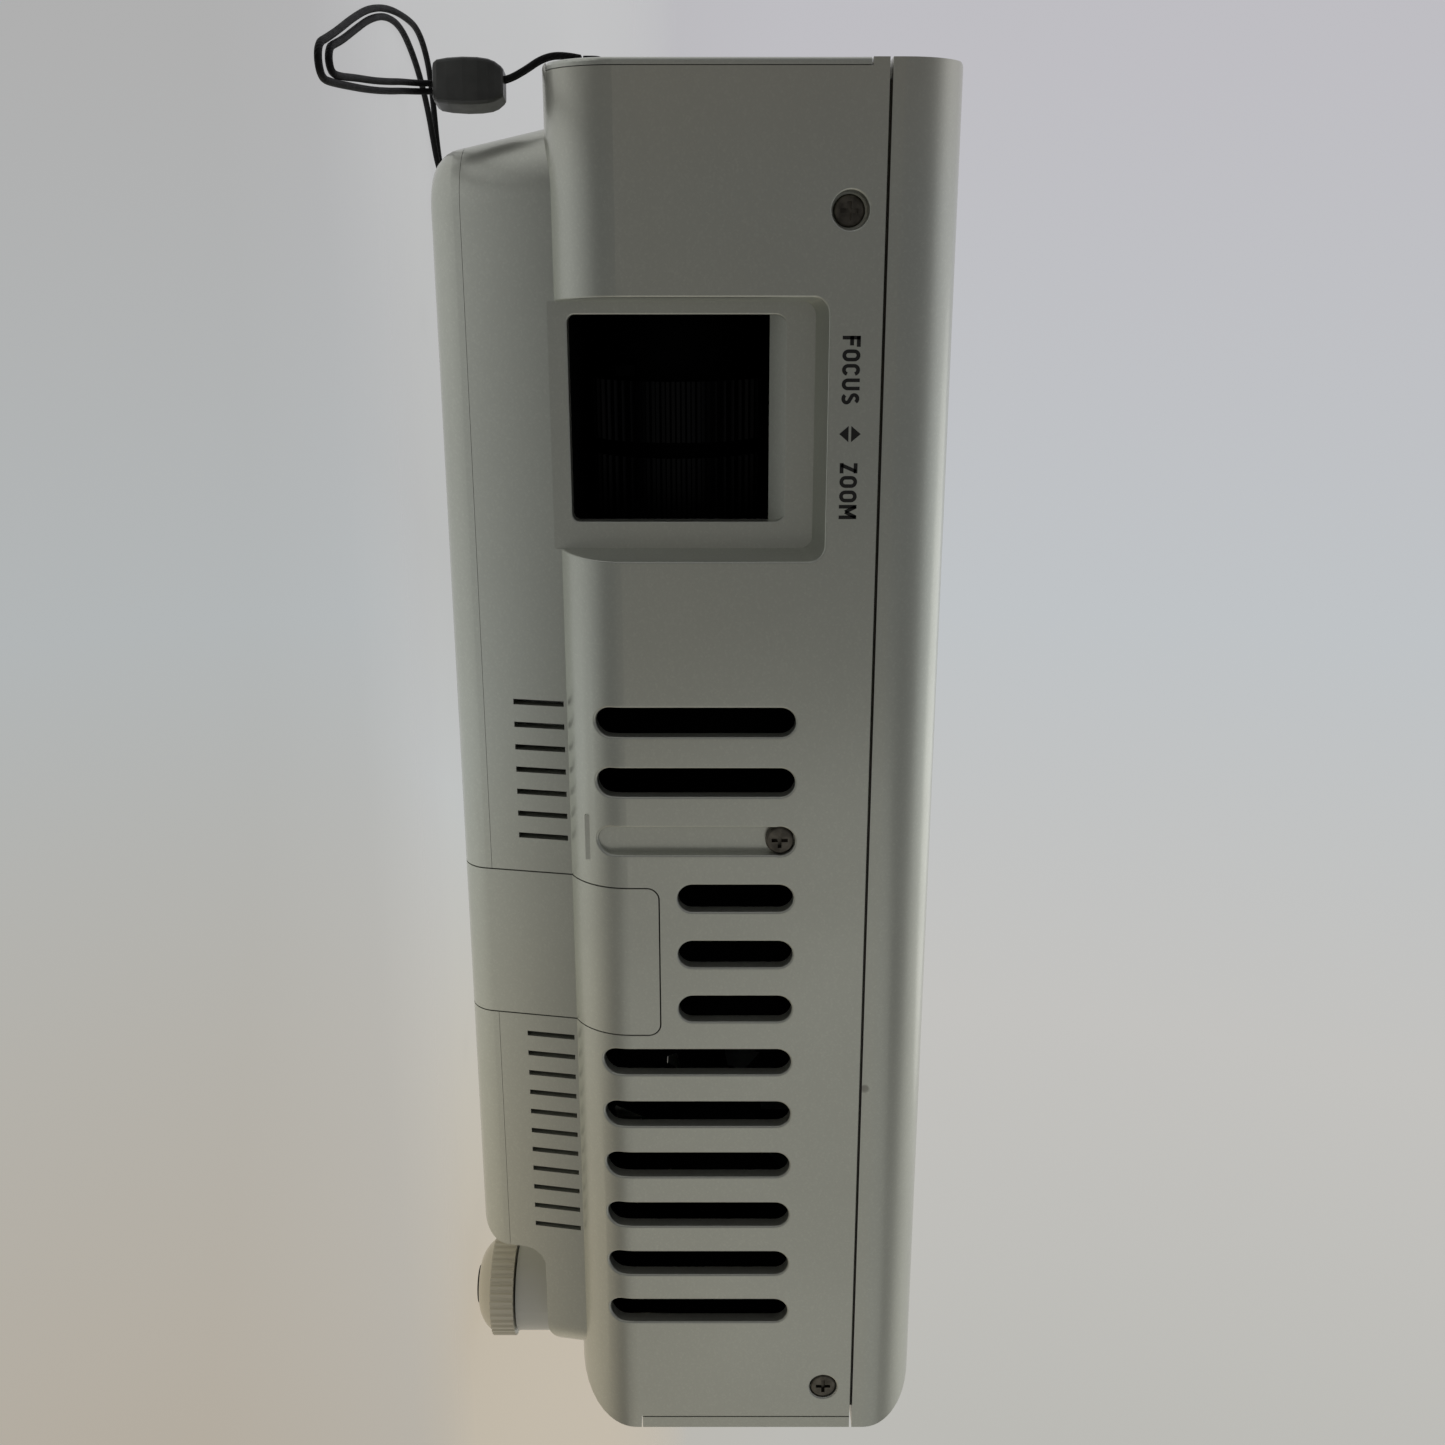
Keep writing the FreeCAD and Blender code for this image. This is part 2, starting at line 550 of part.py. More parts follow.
# ---------------------------------------------------------------- feet
def front_pads():
    pads = [rod("Z", 0, PEDESTAL_BOTTOM, x, PAD_Y, 9.0) for x in (-PAD_X, PAD_X)]
    return group([filleted(pad, 0.8, lambda b: b.ZMax < 0.01) for pad in pads])


def foot_collars():
    collar = tube("Z", KNOB_TOP + 0.5, BODY_BOTTOM + 1, FOOT_X, FOOT_Y, COLLAR_R, SCREW_R + 0.3)
    collar = collar.cut(body_form())
    return group(both_sides(collar))


def foot_pad(side):
    return rod("Z", 0, 1.5, side * FOOT_X, FOOT_Y, 4.5)


def foot_knob(side):
    x = side * FOOT_X
    grip = knurled("Z", 4.2, KNOB_TOP, x, FOOT_Y, KNOB_R, 0.45, 40)
    dome_face = Part.Face(Part.Wire([
        Part.makeLine(Vector(0, 0, 1.55), Vector(4.6, 0, 1.55)),
        Part.makeLine(Vector(4.6, 0, 1.55), Vector(4.6, 0, 0.4)),
        Part.Arc(Vector(4.6, 0, 0.4), Vector(8.9, 0, 1.9), Vector(11.3, 0, 4.6)).toShape(),
        Part.makeLine(Vector(11.3, 0, 4.6), Vector(0, 0, 4.6)),
        Part.makeLine(Vector(0, 0, 4.6), Vector(0, 0, 1.55)),
    ]))
    dome = dome_face.revolve(Vector(0, 0, 0), Vector(0, 0, 1), 360)
    dome.translate(Vector(x, FOOT_Y, 0))
    stem = rod("Z", KNOB_TOP - 1, 44.0, x, FOOT_Y, SCREW_R)
    return joined(grip, dome, stem)


# ---------------------------------------------------------------- lens
def lens_barrel():
    barrel = tube("Y", -135.0, -52.0, LENS_X, LENS_Z, BARREL_R, CELL_R)
    flange = slab("Y", -55.0, -51.5, LENS_X - 22, LENS_X + 22, LENS_Z - 19, LENS_Z + 19, 3.0)
    flange = flange.cut(rod("Y", -56.0, -50.0, LENS_X, LENS_Z, CELL_R))
    stop = block(LENS_X + 12.4, LENS_X + 16.2, FOCUS_FRONT - 3.2, FOCUS_FRONT - 1.0, LENS_Z - 12.5, LENS_Z - 8.5)
    return joined(barrel, flange, stop.cut(rod("Y", -100, -80, LENS_X, LENS_Z, CELL_R + 1)))


def lens_ring(front, back):
    ring = knurled("Y", front, back, LENS_X, LENS_Z, RING_R, 0.6, RING_RIDGES)
    return ring.cut(rod("Y", front - 1, back + 1, LENS_X, LENS_Z, BARREL_R + RUN))


def front_lens_cell():
    sleeve = tube("Y", -143.0, -112.0, LENS_X, LENS_Z, CELL_R - RUN, 12.2)
    flange = tube("Y", -146.0, -136.8, LENS_X, LENS_Z, 17.4, 13.2)
    return joined(sleeve.cut(rod("Y", -144, -137, LENS_X, LENS_Z, 13.2)), flange)


def lens_element(front, radius, bulge, thickness):
    """Double convex glass, turned about the lens axis."""
    ball = (radius * radius + bulge * bulge) / (2 * bulge)
    half_way = ball - math.sqrt(ball * ball - radius * radius / 4)
    back = front + thickness
    profile = (
        (0, front), (radius / 2, front + half_way), (radius, front + bulge),
        (radius, back - bulge), (radius / 2, back - half_way), (0, back),
    )
    p = [Vector(LENS_X + r, y, LENS_Z) for r, y in profile]
    outline = Part.Wire([
        Part.Arc(p[0], p[1], p[2]).toShape(), Part.makeLine(p[2], p[3]),
        Part.Arc(p[3], p[4], p[5]).toShape(), Part.makeLine(p[5], p[0]),
    ])
    return Part.Face(outline).revolve(Vector(LENS_X, 0, LENS_Z), Vector(0, 1, 0), 360)


def zoom_lens_cell():
    return tube("Y", -100.0, -85.0, LENS_X, LENS_Z, CELL_R - RUN, 11.0)


def lens_shroud():
    """Dark box round the rings, open to the finger window and holed for the barrel."""
    x0, x1, y0, y1, z0, z1 = 118.0, 178.2, -118.0, -56.5, 30.2, 78.0
    wall = 0.8
    box = block(x0, x1, y0, y1, z0, z1).cut(block(x0 + wall, x1 - wall, y0 + wall, y1 - wall, z0 + wall, z1 - wall))
    window = slab("X", x1 - 3, x1 + 1, WINDOW_FRONT, WINDOW_BACK, z0 + wall, WINDOW_HIGH + 3.4, 0.5)
    return box.cut([window, rod("Y", y0 - 1, y1 + 1, LENS_X, LENS_Z, 16.6)])


def lens_cap():
    front = FRONT - 1.2
    disc = rod("Y", front, front + 3.0, LENS_X, LENS_Z, CAP_R)
    skirt = tube("Y", front + 2.0, front + 10.0, LENS_X, LENS_Z, 19.4, 17.9)
    reach_x, reach_z = EYE_X - LENS_X, (EYE_LOW + EYE_HIGH) / 2 - LENS_Z
    length = math.hypot(reach_x, reach_z)
    tab = slab("Y", front, front + 1.0, 0, length, -2.6, 2.6)
    tab.rotate(Vector(0, 0, 0), Vector(0, -1, 0), math.degrees(math.atan2(reach_z, reach_x)))
    tab.translate(Vector(LENS_X, 0, LENS_Z))
    eye = slab("Y", FRONT - EYE_PROUD, FRONT - 0.2, EYE_X - 2.6, EYE_X + 2.6, EYE_LOW, EYE_HIGH, (0.4, 0.4, 1.6, 1.6))
    dish = rod("Y", front - 1, front + 0.6, LENS_X, LENS_Z, CAP_R - 3.0)
    cap = joined(disc.cut(dish), skirt)
    cap = filleted(cap, 0.5, lambda b: b.YMax < front + 0.01)
    return joined(cap, tab.cut(rod("Y", front - 1, front + 2, LENS_X, LENS_Z, CAP_R - 1)), eye)


# ---------------------------------------------------------------- tether
STRAND_LONG_A = (
    (145.3, -131.0, 2.4), (145.0, -135.4, 1.2), (144.4, -141.0, FLOOR_Z), (146.0, -148.2, FLOOR_Z),
    (149.4, -155.6, FLOOR_Z), (158.4, -160.2, FLOOR_Z), (171.6, -160.6, FLOOR_Z), (187.0, -159.8, FLOOR_Z),
    (202.0, -157.4, FLOOR_Z), (215.0, -153.9, FLOOR_Z), (225.6, -150.7, FLOOR_Z), (232.6, -148.7, FLOOR_Z),
    (237.2, -147.3, FLOOR_Z), (238.6, -144.5, FLOOR_Z), (236.6, -142.2, FLOOR_Z), (231.4, -142.0, FLOOR_Z),
    (222.0, -142.4, FLOOR_Z), (206.0, -143.7, FLOOR_Z), (190.0, -145.4, FLOOR_Z), (178.4, -146.7, FLOOR_Z),
    (172.8, -147.2, 2.2), (170.9, -147.4, TOGGLE_LOW),
)
STRAND_LONG_B = (
    (146.8, -131.0, 2.4), (147.2, -135.2, 1.2), (148.2, -140.2, FLOOR_Z), (152.0, -145.4, FLOOR_Z),
    (157.4, -150.2, FLOOR_Z), (165.2, -154.8, FLOOR_Z), (175.6, -158.2, FLOOR_Z), (188.4, -158.1, FLOOR_Z),
    (201.6, -155.7, FLOOR_Z), (213.6, -152.2, FLOOR_Z), (222.6, -149.9, FLOOR_Z), (227.8, -148.8, FLOOR_Z),
    (231.0, -147.7, FLOOR_Z), (232.0, -145.4, FLOOR_Z), (230.0, -143.7, FLOOR_Z), (224.8, -143.9, FLOOR_Z),
    (215.6, -144.6, FLOOR_Z), (202.0, -145.8, FLOOR_Z), (189.0, -147.1, FLOOR_Z), (178.4, -148.3, FLOOR_Z),
    (172.8, -148.7, 2.2), (170.9, -148.8, TOGGLE_LOW),
)
STRAND_SHORT_A = (
    (170.3, -149.2, TOGGLE_HIGH), (170.3, -150.9, 22.8), (170.3, -153.3, 26.6),
    (170.3, -153.9, 30.4), (170.3, -153.3, EYE_LOW - 0.6),
)
STRAND_SHORT_B = tuple((x + 1.5, y, z) for x, y, z in STRAND_SHORT_A)


def strand(points):
    """Tube along straight runs joined by tangent arcs; prints its length and tightest arc."""
    stops = [Vector(*p) for p in points]
    edges, radii = [], []
    start = stops[0]
    for before, here, after in zip(stops, stops[1:], stops[2:]):
        into, out = (here - before), (after - here)
        shorter = min(into.Length, out.Length)
        into.normalize()
        out.normalize()
        half_turn = into.getAngle(out) / 2
        reach = 0.45 * shorter
        radius = reach / math.tan(half_turn)
        centre = here + (out - into).normalize() * (radius / math.cos(half_turn))
        entry, leave = here - into * reach, here + out * reach
        middle = centre + (here - centre).normalize() * radius
        edges.append(Part.LineSegment(start, entry).toShape())
        edges.append(Part.Arc(entry, middle, leave).toShape())
        radii.append(radius)
        start = leave
    edges.append(Part.LineSegment(start, stops[-1]).toShape())
    path = Part.Wire(edges)
    first = (stops[1] - stops[0]).normalize()
    section = Part.Wire([Part.makeCircle(STRAND / 2, stops[0], first)])
    solid = path.makePipeShell([section], True, False)
    ideal = path.Length * math.pi * (STRAND / 2) ** 2
    print("strand length %.1f, tightest arc %.1f, volume ratio %.4f"
          % (path.Length, min(radii), solid.Volume / ideal))
    return solid


def tether_anchor():
    lug = slab("Z", 1.0, PEDESTAL_BOTTOM, 142.4, 149.8, -131.0, -124.0, 1.0)
    return lug


def tether_toggle():
    form = slab("Z", TOGGLE_LOW, TOGGLE_HIGH, 166.8, 175.2, -154.2, -144.2, 2.2)
    return filleted(form, 1.4, lambda b: b.ZLength < 0.01)


# ---------------------------------------------------------------- filter
def air_filter_frame():
    x0, x1, y0, y1, z0, z1 = 98.0, 174.6, 13.0, 43.0, 9.0, 26.0
    frame = slab("Z", z0, z1, x0, x1, y0, y1, 2.0).cut(slab("Z", z0 - 1, z1 + 1, x0 + 2, x1 - 2, y0 + 2, y1 - 2, 1.0))
    bars = [block(x, x + 1.6, y0 + 1, y1 - 1, z0, z0 + 3) for x in (116.0, 135.0, 154.0)]
    return joined(frame, *bars)


def air_filter_mesh():
    return slab("Z", 12.4, 22.0, 100.2, 172.4, 15.2, 40.8, 0.8)


# ---------------------------------------------------------------- cooling
def exhaust_duct():
    y0, y1, z0, z1 = -31.0, 123.0, 33.2, 88.0
    box = block(FAN_X1 + 0.5, INNER - 4.0, y0, y1, z0, z1)
    inside = block(FAN_X1 + 2.0, INNER, y0 + 1.5, y1 - 1.5, z0 + 1.5, z1 - 1.5)
    return box.cut([inside, rod("X", FAN_X1 - 1, FAN_X1 + 4, FAN_Y, FAN_Z, FAN_R)])


def exhaust_fan_frame():
    half = 29.0
    frame = slab("X", FAN_X0, FAN_X1, FAN_Y - half, FAN_Y + half, FAN_Z - 28.5, FAN_Z + 28.5, 4.0)
    frame = frame.cut(rod("X", FAN_X0 - 1, FAN_X1 + 1, FAN_Y, FAN_Z, FAN_R))
    spokes = []
    for turn in (0, 60, 120):
        bar = block(FAN_X0, FAN_X0 + 2, -FAN_R - 0.5, FAN_R + 0.5, -1.6, 1.6)
        bar.rotate(Vector(0, 0, 0), Vector(1, 0, 0), turn)
        bar.translate(Vector(0, FAN_Y, FAN_Z))
        spokes.append(bar)
    hub = rod("X", FAN_X0, FAN_X0 + 3, FAN_Y, FAN_Z, 9.0)
    bearing = rod("X", FAN_X0 - 1, FAN_X0 + 4, FAN_Y, FAN_Z, 1.5 + RUN)
    return joined(frame, hub, *spokes).cut(bearing)


def exhaust_fan_rotor():
    hub = rod("X", FAN_X0 + 3.5, FAN_X1 - 1.5, FAN_Y, FAN_Z, 10.5)
    axle = rod("X", FAN_X0 + 0.3, FAN_X0 + 4, FAN_Y, FAN_Z, 1.5)
    blades = []
    for k in range(7):
        blade = Part.makeBox(1.4, 12.5, 15.5, Vector(-0.7, -6.25, 9.5))
        blade.rotate(Vector(0, 0, 0), Vector(0, 0, 1), 42)
        blade.rotate(Vector(0, 0, 0), Vector(1, 0, 0), 360.0 / 7 * k)
        blade.translate(Vector((FAN_X0 + FAN_X1) / 2 + 1, FAN_Y, FAN_Z))
        blades.append(blade)
    return joined(hub, axle, *blades)


# ---------------------------------------------------------------- optics and electronics
def light_engine():
    low, high = 31.5, 74.0
    arms = [
        slab("Z", low, high, -86.0, -42.0, -108.0, 50.0, 4.0),
        slab("Z", low, high, -50.0, 100.0, 4.0, 50.0, 4.0),
        slab("Z", low, high, 96.0, 166.0, -12.0, 40.0, 4.0),
    ]
    lid = slab("Z", high - 1, high + 3, 0.0, 90.0, 12.0, 42.0, 3.0)
    return joined(*arms, lid)


def cross_prism():
    return block(LENS_X - 13, LENS_X + 13, -48.0, -22.0, LENS_Z - 13, LENS_Z + 13)


def lcd_panels():
    low, high = LENS_Z - 12, LENS_Z + 12
    left = block(LENS_X - 18, LENS_X - 15, -47.0, -23.0, low, high)
    right = block(LENS_X + 15, LENS_X + 18, -47.0, -23.0, low, high)
    rear = block(LENS_X - 12, LENS_X + 12, -20.0, -17.0, low, high)
    return group([left, right, rear])


def lamp_housing():
    outer = block(-174.0, -90.0, -112.0, -44.0, 42.0, 83.0)
    inner = block(-175.0, -92.0, -110.0, -46.0, 44.0, 81.0)
    port = rod("X", -95.0, -85.0, -78.0, LAMP_Z, 16.0)
    handle = slab("X", -172.0, -169.0, -92.0, -64.0, 52.0, 74.0, 4.0)
    handle = handle.cut(slab("X", -173.0, -168.0, -88.0, -68.0, 56.0, 70.0, 3.0))
    bars = [block(-172.0, -169.0, y - 1.5, y + 1.5, 43.0, 53.0) for y in (-86.0, -70.0)]
    return joined(outer.cut([inner, port]), handle, *bars)


def lamp_reflector():
    bowl = Part.makeCone(9.0, 18.0, 44.0, Vector(-146.0, -78.0, LAMP_Z), Vector(1, 0, 0))
    hollow = Part.makeCone(7.0, 16.5, 42.0, Vector(-143.9, -78.0, LAMP_Z), Vector(1, 0, 0))
    neck = rod("X", -160.0, -145.5, -78.0, LAMP_Z, 6.0)
    return joined(bowl.cut(hollow), neck)


def power_supply_board():
    return block(-176.0, -92.0, -34.0, 112.0, 33.0, 34.6)


def main_board():
    return block(-38.0, 140.0, 56.0, 134.0, 40.0, 41.6)


def terminal_board():
    return block(-54.0, 136.0, 139.0, 140.6, 46.0, 88.0)


def key_board():
    board = block(-162.0, -70.0, 56.0, 102.0, 97.0, 98.4)
    switches = [rod("Z", 98.3, 99.5, x, y, 2.2) for x, y, *_ in KEYS.values()]
    return joined(board, *switches)


def board_components():
    pieces = [
        block(-168.0, -132.0, -20.0, 16.0, 34.6, 66.0),
        block(-120.0, -96.0, -24.0, 20.0, 34.6, 58.0),
        block(-168.0, -164.0, 30.0, 100.0, 34.6, 76.0),
        block(-104.0, -100.0, 60.0, 108.0, 34.6, 70.0),
        block(0.0, 34.0, 80.0, 114.0, 41.6, 45.0),
        block(60.0, 88.0, 84.0, 112.0, 41.6, 44.5),
        block(100.0, 120.0, 66.0, 80.0, 41.6, 44.0),
    ]
    pieces += [rod("Z", 34.6, 64.0, x, y, 9.0) for x, y in ((-140.0, 40.0), (-118.0, 40.0), (-140.0, 64.0))]
    return group(pieces)


# ---------------------------------------------------------------- sockets and switch
def ac_inlet():
    """Three-pin mains inlet and, beside it, the housing of the rocker switch."""
    body = slab("Y", BACK - 27, BACK - 0.4, AC_X - 14.0, AC_X + 14.0, SOCKET_Z - 12.0, SOCKET_Z + 12.0, 3.0)
    mouth = slab("Y", BACK - 17, BACK + 1, AC_X - 12.2, AC_X + 12.2, SOCKET_Z - 8.0, SOCKET_Z + 8.0, (2, 2, 5, 5))
    switch = slab("Y", BACK - 20, BACK - 0.4, ROCKER_X - 7.0, ROCKER_X + 7.0, SOCKET_Z - 11.0, SOCKET_Z + 11.0, 0.8)
    well = block(ROCKER_X - 5.3, ROCKER_X + 5.3, BACK - 12, BACK + 1, SOCKET_Z - 10.1, SOCKET_Z + 10.1)
    pivot = rod("X", ROCKER_X - 6.4, ROCKER_X + 6.4, ROCKER_Y, SOCKET_Z, 1.5 + RUN)
    return group([body.cut([mouth, socket_contacts()]), switch.cut([well, pivot])])


def socket_contacts():
    pins = [
        block(AC_X + dx - 2.0, AC_X + dx + 2.0, BACK - 24, BACK - 5, SOCKET_Z + dz - 1.0, SOCKET_Z + dz + 1.0)
        for dx, dz in ((-7.0, -2.0), (0.0, 2.0), (7.0, -2.0))
    ]
    return group(pins)


def power_rocker():
    face = ((-3.4, -8.0, 0), (3.2, -9.0, 0.8), (1.9, 0, 12.0), (3.2, 9.0, 0.8), (-3.4, 8.0, 0))
    corners = [(ROCKER_Y + y, SOCKET_Z + z, r) for y, z, r in face]
    body = prism("X", ROCKER_X - 5.0, ROCKER_X + 5.0, corners)
    pivot = rod("X", ROCKER_X - 6.2, ROCKER_X + 6.2, ROCKER_Y, SOCKET_Z, 1.5)
    rocker = joined(body, pivot)
    rocker.rotate(Vector(ROCKER_X, ROCKER_Y, SOCKET_Z), Vector(1, 0, 0), -ROCKER_TILT)
    return rocker


def video_sockets():
    shells = []
    for x, z, half_w, half_h, corner in video_places():
        wall = 0.6
        deep = SOCKET_BACK
        out = BACK - 0.4 if half_h < 4 else BACK + PROUD
        outer = slab("Y", deep, out, x - half_w, x + half_w, z - half_h, z + half_h, corner)
        inner = slab("Y", deep + 2, out + 1, x - half_w + wall, x + half_w - wall,
                     z - half_h + wall, z + half_h - wall, corner - wall + 0.05)
        tongue = block(x - half_w + 2, x + half_w - 2, deep + 1, out - 1.0, z - 0.6, z + 0.6)
        shells.append(joined(outer.cut(inner), tongue))
        if half_h > 4:
            for sign in (-1, 1):
                post = rod("Y", BACK + 0.02, BACK + PROUD - 0.6, x + sign * 12.5, z, 2.4)
                shells.append(post)
    return group(shells)


def component_jacks():
    jacks = []
    for x, z in jack_places():
        barrel = tube("Y", SOCKET_BACK, BACK + PROUD, x, z, 4.15, 3.4)
        core = rod("Y", SOCKET_BACK, BACK + 1.5, x, z, 2.6).cut(rod("Y", BACK - 4, BACK + 3, x, z, 1.6))
        back = rod("Y", SOCKET_BACK, BACK - 7, x, z, 4.0)
        jacks.append(joined(barrel, back, core))
    round_socket = rod("Y", SOCKET_BACK, BACK - 0.3, 126.0, SOCKET_Z + 10, 6.2)
    round_socket = round_socket.cut(tube("Y", BACK - 6, BACK + 1, 126.0, SOCKET_Z + 10, 5.4, 4.3))
    jacks.append(round_socket)
    return group(jacks)


def status_lights():
    return group([rod("Z", 101.0, PANEL_FLOOR + 0.3, x, 64.0, 1.1) for x in light_places()])


def key_cap(name):
    x, y, half_w, half_l, corner = KEYS[name]
    cap = slab("Z", 102.4, 105.7, x - half_w, x + half_w, y - half_l, y + half_l, corner)
    cap = filleted(cap, 0.4, lambda b: b.ZMin > 105.69)
    flange = slab("Z", 101.7, 102.5, x - half_w - 0.9, x + half_w + 0.9, y - half_l - 0.9, y + half_l + 0.9,
                  corner + 0.9)
    stem = rod("Z", 100.5, 102.0, x, y, 1.5)
    return joined(cap, flange, stem)


# ---------------------------------------------------------------- parts list
NODES = {
    "lower_case": lower_case,
    "bottom_plate": bottom_plate,
    "top_cover": top_cover,
    "front_bezel": front_bezel,
    "rear_panel": rear_panel,
    "lens_trim_ring": lens_trim_ring,
    "ir_windows": ir_windows,
    "filter_door": filter_door,
    "lamp_door": lamp_door,
    "case_screws": case_screws,
    "mount_inserts": mount_inserts,
    "front_pads": front_pads,
    "foot_collars": foot_collars,
    "foot_pad_right": lambda: foot_pad(1),
    "foot_pad_left": lambda: foot_pad(-1),
    "foot_knob_right": lambda: foot_knob(1),
    "foot_knob_left": lambda: foot_knob(-1),
    "lens_barrel": lens_barrel,
    "focus_ring": lambda: lens_ring(FOCUS_FRONT, FOCUS_BACK),
    "zoom_ring": lambda: lens_ring(ZOOM_FRONT, ZOOM_BACK),
    "front_lens_cell": front_lens_cell,
    "front_lens": lambda: lens_element(-142.0, 13.1, 2.6, 7.0),
    "zoom_lens_cell": zoom_lens_cell,
    "lens_shroud": lens_shroud,
    "lens_cap": lens_cap,
    "tether_anchor": tether_anchor,
    "tether_toggle": tether_toggle,
    "tether_long_a": lambda: strand(STRAND_LONG_A),
    "tether_long_b": lambda: strand(STRAND_LONG_B),
    "tether_short_a": lambda: strand(STRAND_SHORT_A),
    "tether_short_b": lambda: strand(STRAND_SHORT_B),
    "air_filter_frame": air_filter_frame,
    "air_filter_mesh": air_filter_mesh,
    "exhaust_duct": exhaust_duct,
    "exhaust_fan_frame": exhaust_fan_frame,
    "exhaust_fan_rotor": exhaust_fan_rotor,
    "light_engine": light_engine,
    "cross_prism": cross_prism,
    "lcd_panels": lcd_panels,
    "lamp_housing": lamp_housing,
    "lamp_reflector": lamp_reflector,
    "power_supply_board": power_supply_board,
    "main_board": main_board,
    "terminal_board": terminal_board,
    "key_board": key_board,
    "board_components": board_components,
    "ac_inlet": ac_inlet,
    "socket_contacts": socket_contacts,
    "power_rocker": power_rocker,
    "video_sockets": video_sockets,
    "component_jacks": component_jacks,
    "status_lights": status_lights,
}
for key in KEYS:
    NODES[key] = lambda name=key: key_cap(name)


def main():
    os.makedirs("parts", exist_ok=True)
    for name, build in NODES.items():
        shape = build()
        if not shape.isValid():
            print("NOT VALID", name)
        shape.exportStep("parts/%s.step" % name)
        bounds = shape.BoundBox
        print("%-20s solids %d  x %.1f..%.1f  y %.1f..%.1f  z %.1f..%.1f" % (
            name, len(shape.Solids), bounds.XMin, bounds.XMax, bounds.YMin, bounds.YMax, bounds.ZMin, bounds.ZMax))


main()
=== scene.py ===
"""Looks of the home projector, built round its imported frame.

Lengths are in metres unless a name or a comment says millimetres. The camera is rolled a quarter turn, so
image up is the projector's front and image right is its top.
"""
import math

import bpy
from mathutils import Matrix, Vector


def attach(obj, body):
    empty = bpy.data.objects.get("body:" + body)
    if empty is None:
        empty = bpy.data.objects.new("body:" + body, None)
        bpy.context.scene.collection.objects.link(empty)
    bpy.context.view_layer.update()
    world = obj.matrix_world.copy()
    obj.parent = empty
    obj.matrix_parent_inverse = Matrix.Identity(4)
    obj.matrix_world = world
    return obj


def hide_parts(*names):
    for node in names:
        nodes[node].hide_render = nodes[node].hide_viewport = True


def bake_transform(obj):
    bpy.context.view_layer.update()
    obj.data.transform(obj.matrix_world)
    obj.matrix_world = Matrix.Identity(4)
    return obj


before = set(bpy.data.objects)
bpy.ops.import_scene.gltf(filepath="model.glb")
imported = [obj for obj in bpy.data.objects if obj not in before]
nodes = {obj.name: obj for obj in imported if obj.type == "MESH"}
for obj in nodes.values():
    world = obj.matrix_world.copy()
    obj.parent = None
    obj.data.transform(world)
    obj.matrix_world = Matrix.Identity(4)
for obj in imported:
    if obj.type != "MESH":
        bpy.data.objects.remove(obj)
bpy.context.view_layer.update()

MM = 0.001
scene = bpy.context.scene


# ---------------------------------------------------------------- camera
CAMERA_PLACE = (0.4791, -0.1145, 0.0610)
YAW_COS, YAW_SIN = 0.9563, 0.2924       # 17 degrees round from the side towards the front
FOCAL_MM, SENSOR_MM = 36.87, 36.0


def make_camera():
    lens = bpy.data.cameras.new("camera")
    lens.sensor_width, lens.lens = SENSOR_MM, FOCAL_MM
    lens.clip_start, lens.clip_end = 0.01, 20.0
    camera = bpy.data.objects.new("camera", lens)
    camera.matrix_world = Matrix((
        (0.0, -YAW_SIN, YAW_COS, CAMERA_PLACE[0]),
        (0.0, -YAW_COS, -YAW_SIN, CAMERA_PLACE[1]),
        (1.0, 0.0, 0.0, CAMERA_PLACE[2]),
        (0.0, 0.0, 0.0, 1.0),
    ))
    scene.collection.objects.link(camera)
    scene.camera = camera


# ---------------------------------------------------------------- mesh helpers
def new_piece(name, mesh, material, body, smooth=True):
    piece = bpy.data.objects.new(name, mesh)
    scene.collection.objects.link(piece)
    mesh.materials.clear()
    mesh.materials.append(material)
    for face in mesh.polygons:
        face.use_smooth = smooth
    if body:
        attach(piece, body)
    return piece


def mesh_of(name, verts, faces):
    mesh = bpy.data.meshes.new(name)
    mesh.from_pydata([tuple(v) for v in verts], [], faces)
    mesh.update()
    return mesh


def centreline(points, steps=14):
    """Points along the smooth curve that the control points define."""
    curve = bpy.data.curves.new("route", "CURVE")
    curve.dimensions = "3D"
    spline = curve.splines.new("NURBS")
    spline.points.add(len(points) - 1)
    for slot_point, place in zip(spline.points, points):
        slot_point.co = (*[c * MM for c in place], 1.0)
    spline.order_u = 3
    spline.use_endpoint_u = True
    spline.resolution_u = steps
    holder = bpy.data.objects.new("route", curve)
    scene.collection.objects.link(holder)
    bpy.context.view_layer.update()
    line = bpy.data.meshes.new_from_object(holder)
    path = [v.co.copy() for v in line.vertices]
    bpy.data.objects.remove(holder)
    bpy.data.meshes.remove(line)
    bpy.data.curves.remove(curve)
    return path


def tube_mesh(name, path, radius, sides=12):
    verts, faces = [], []
    normal = None
    for i, here in enumerate(path):
        ahead = (path[min(i + 1, len(path) - 1)] - path[max(i - 1, 0)]).normalized()
        if normal is None:
            normal = ahead.orthogonal().normalized()
        normal = (normal - ahead * normal.dot(ahead)).normalized()
        side = ahead.cross(normal)
        for k in range(sides):
            turn = 2 * math.pi * k / sides
            verts.append(here + (normal * math.cos(turn) + side * math.sin(turn)) * radius)
    for i in range(len(path) - 1):
        for k in range(sides):
            a, b = i * sides + k, i * sides + (k + 1) % sides
            faces.append((a, b, b + sides, a + sides))
    last = (len(path) - 1) * sides
    faces.append(tuple(reversed(range(sides))))
    faces.append(tuple(last + k for k in range(sides)))
    return mesh_of(name, verts, faces)


# ---------------------------------------------------------------- materials
SHELL_JOINT_Z, SHELL_JOINT_HALF = 91.5, 0.29      # mm, the gap between lower case and top cover, where the paint is darkened as painted shade
WARM_PAINTED_REFLECTION = (0.627, 0.589, 0.475)                # painted warm reflection towards the front
HANDLING_MARK = (0.13, 0.11, 0.085)
# painted shade: the near black that the paint turns inside the shell joint
JOINT_PAINTED_SHADE = (0.004, 0.004, 0.004)


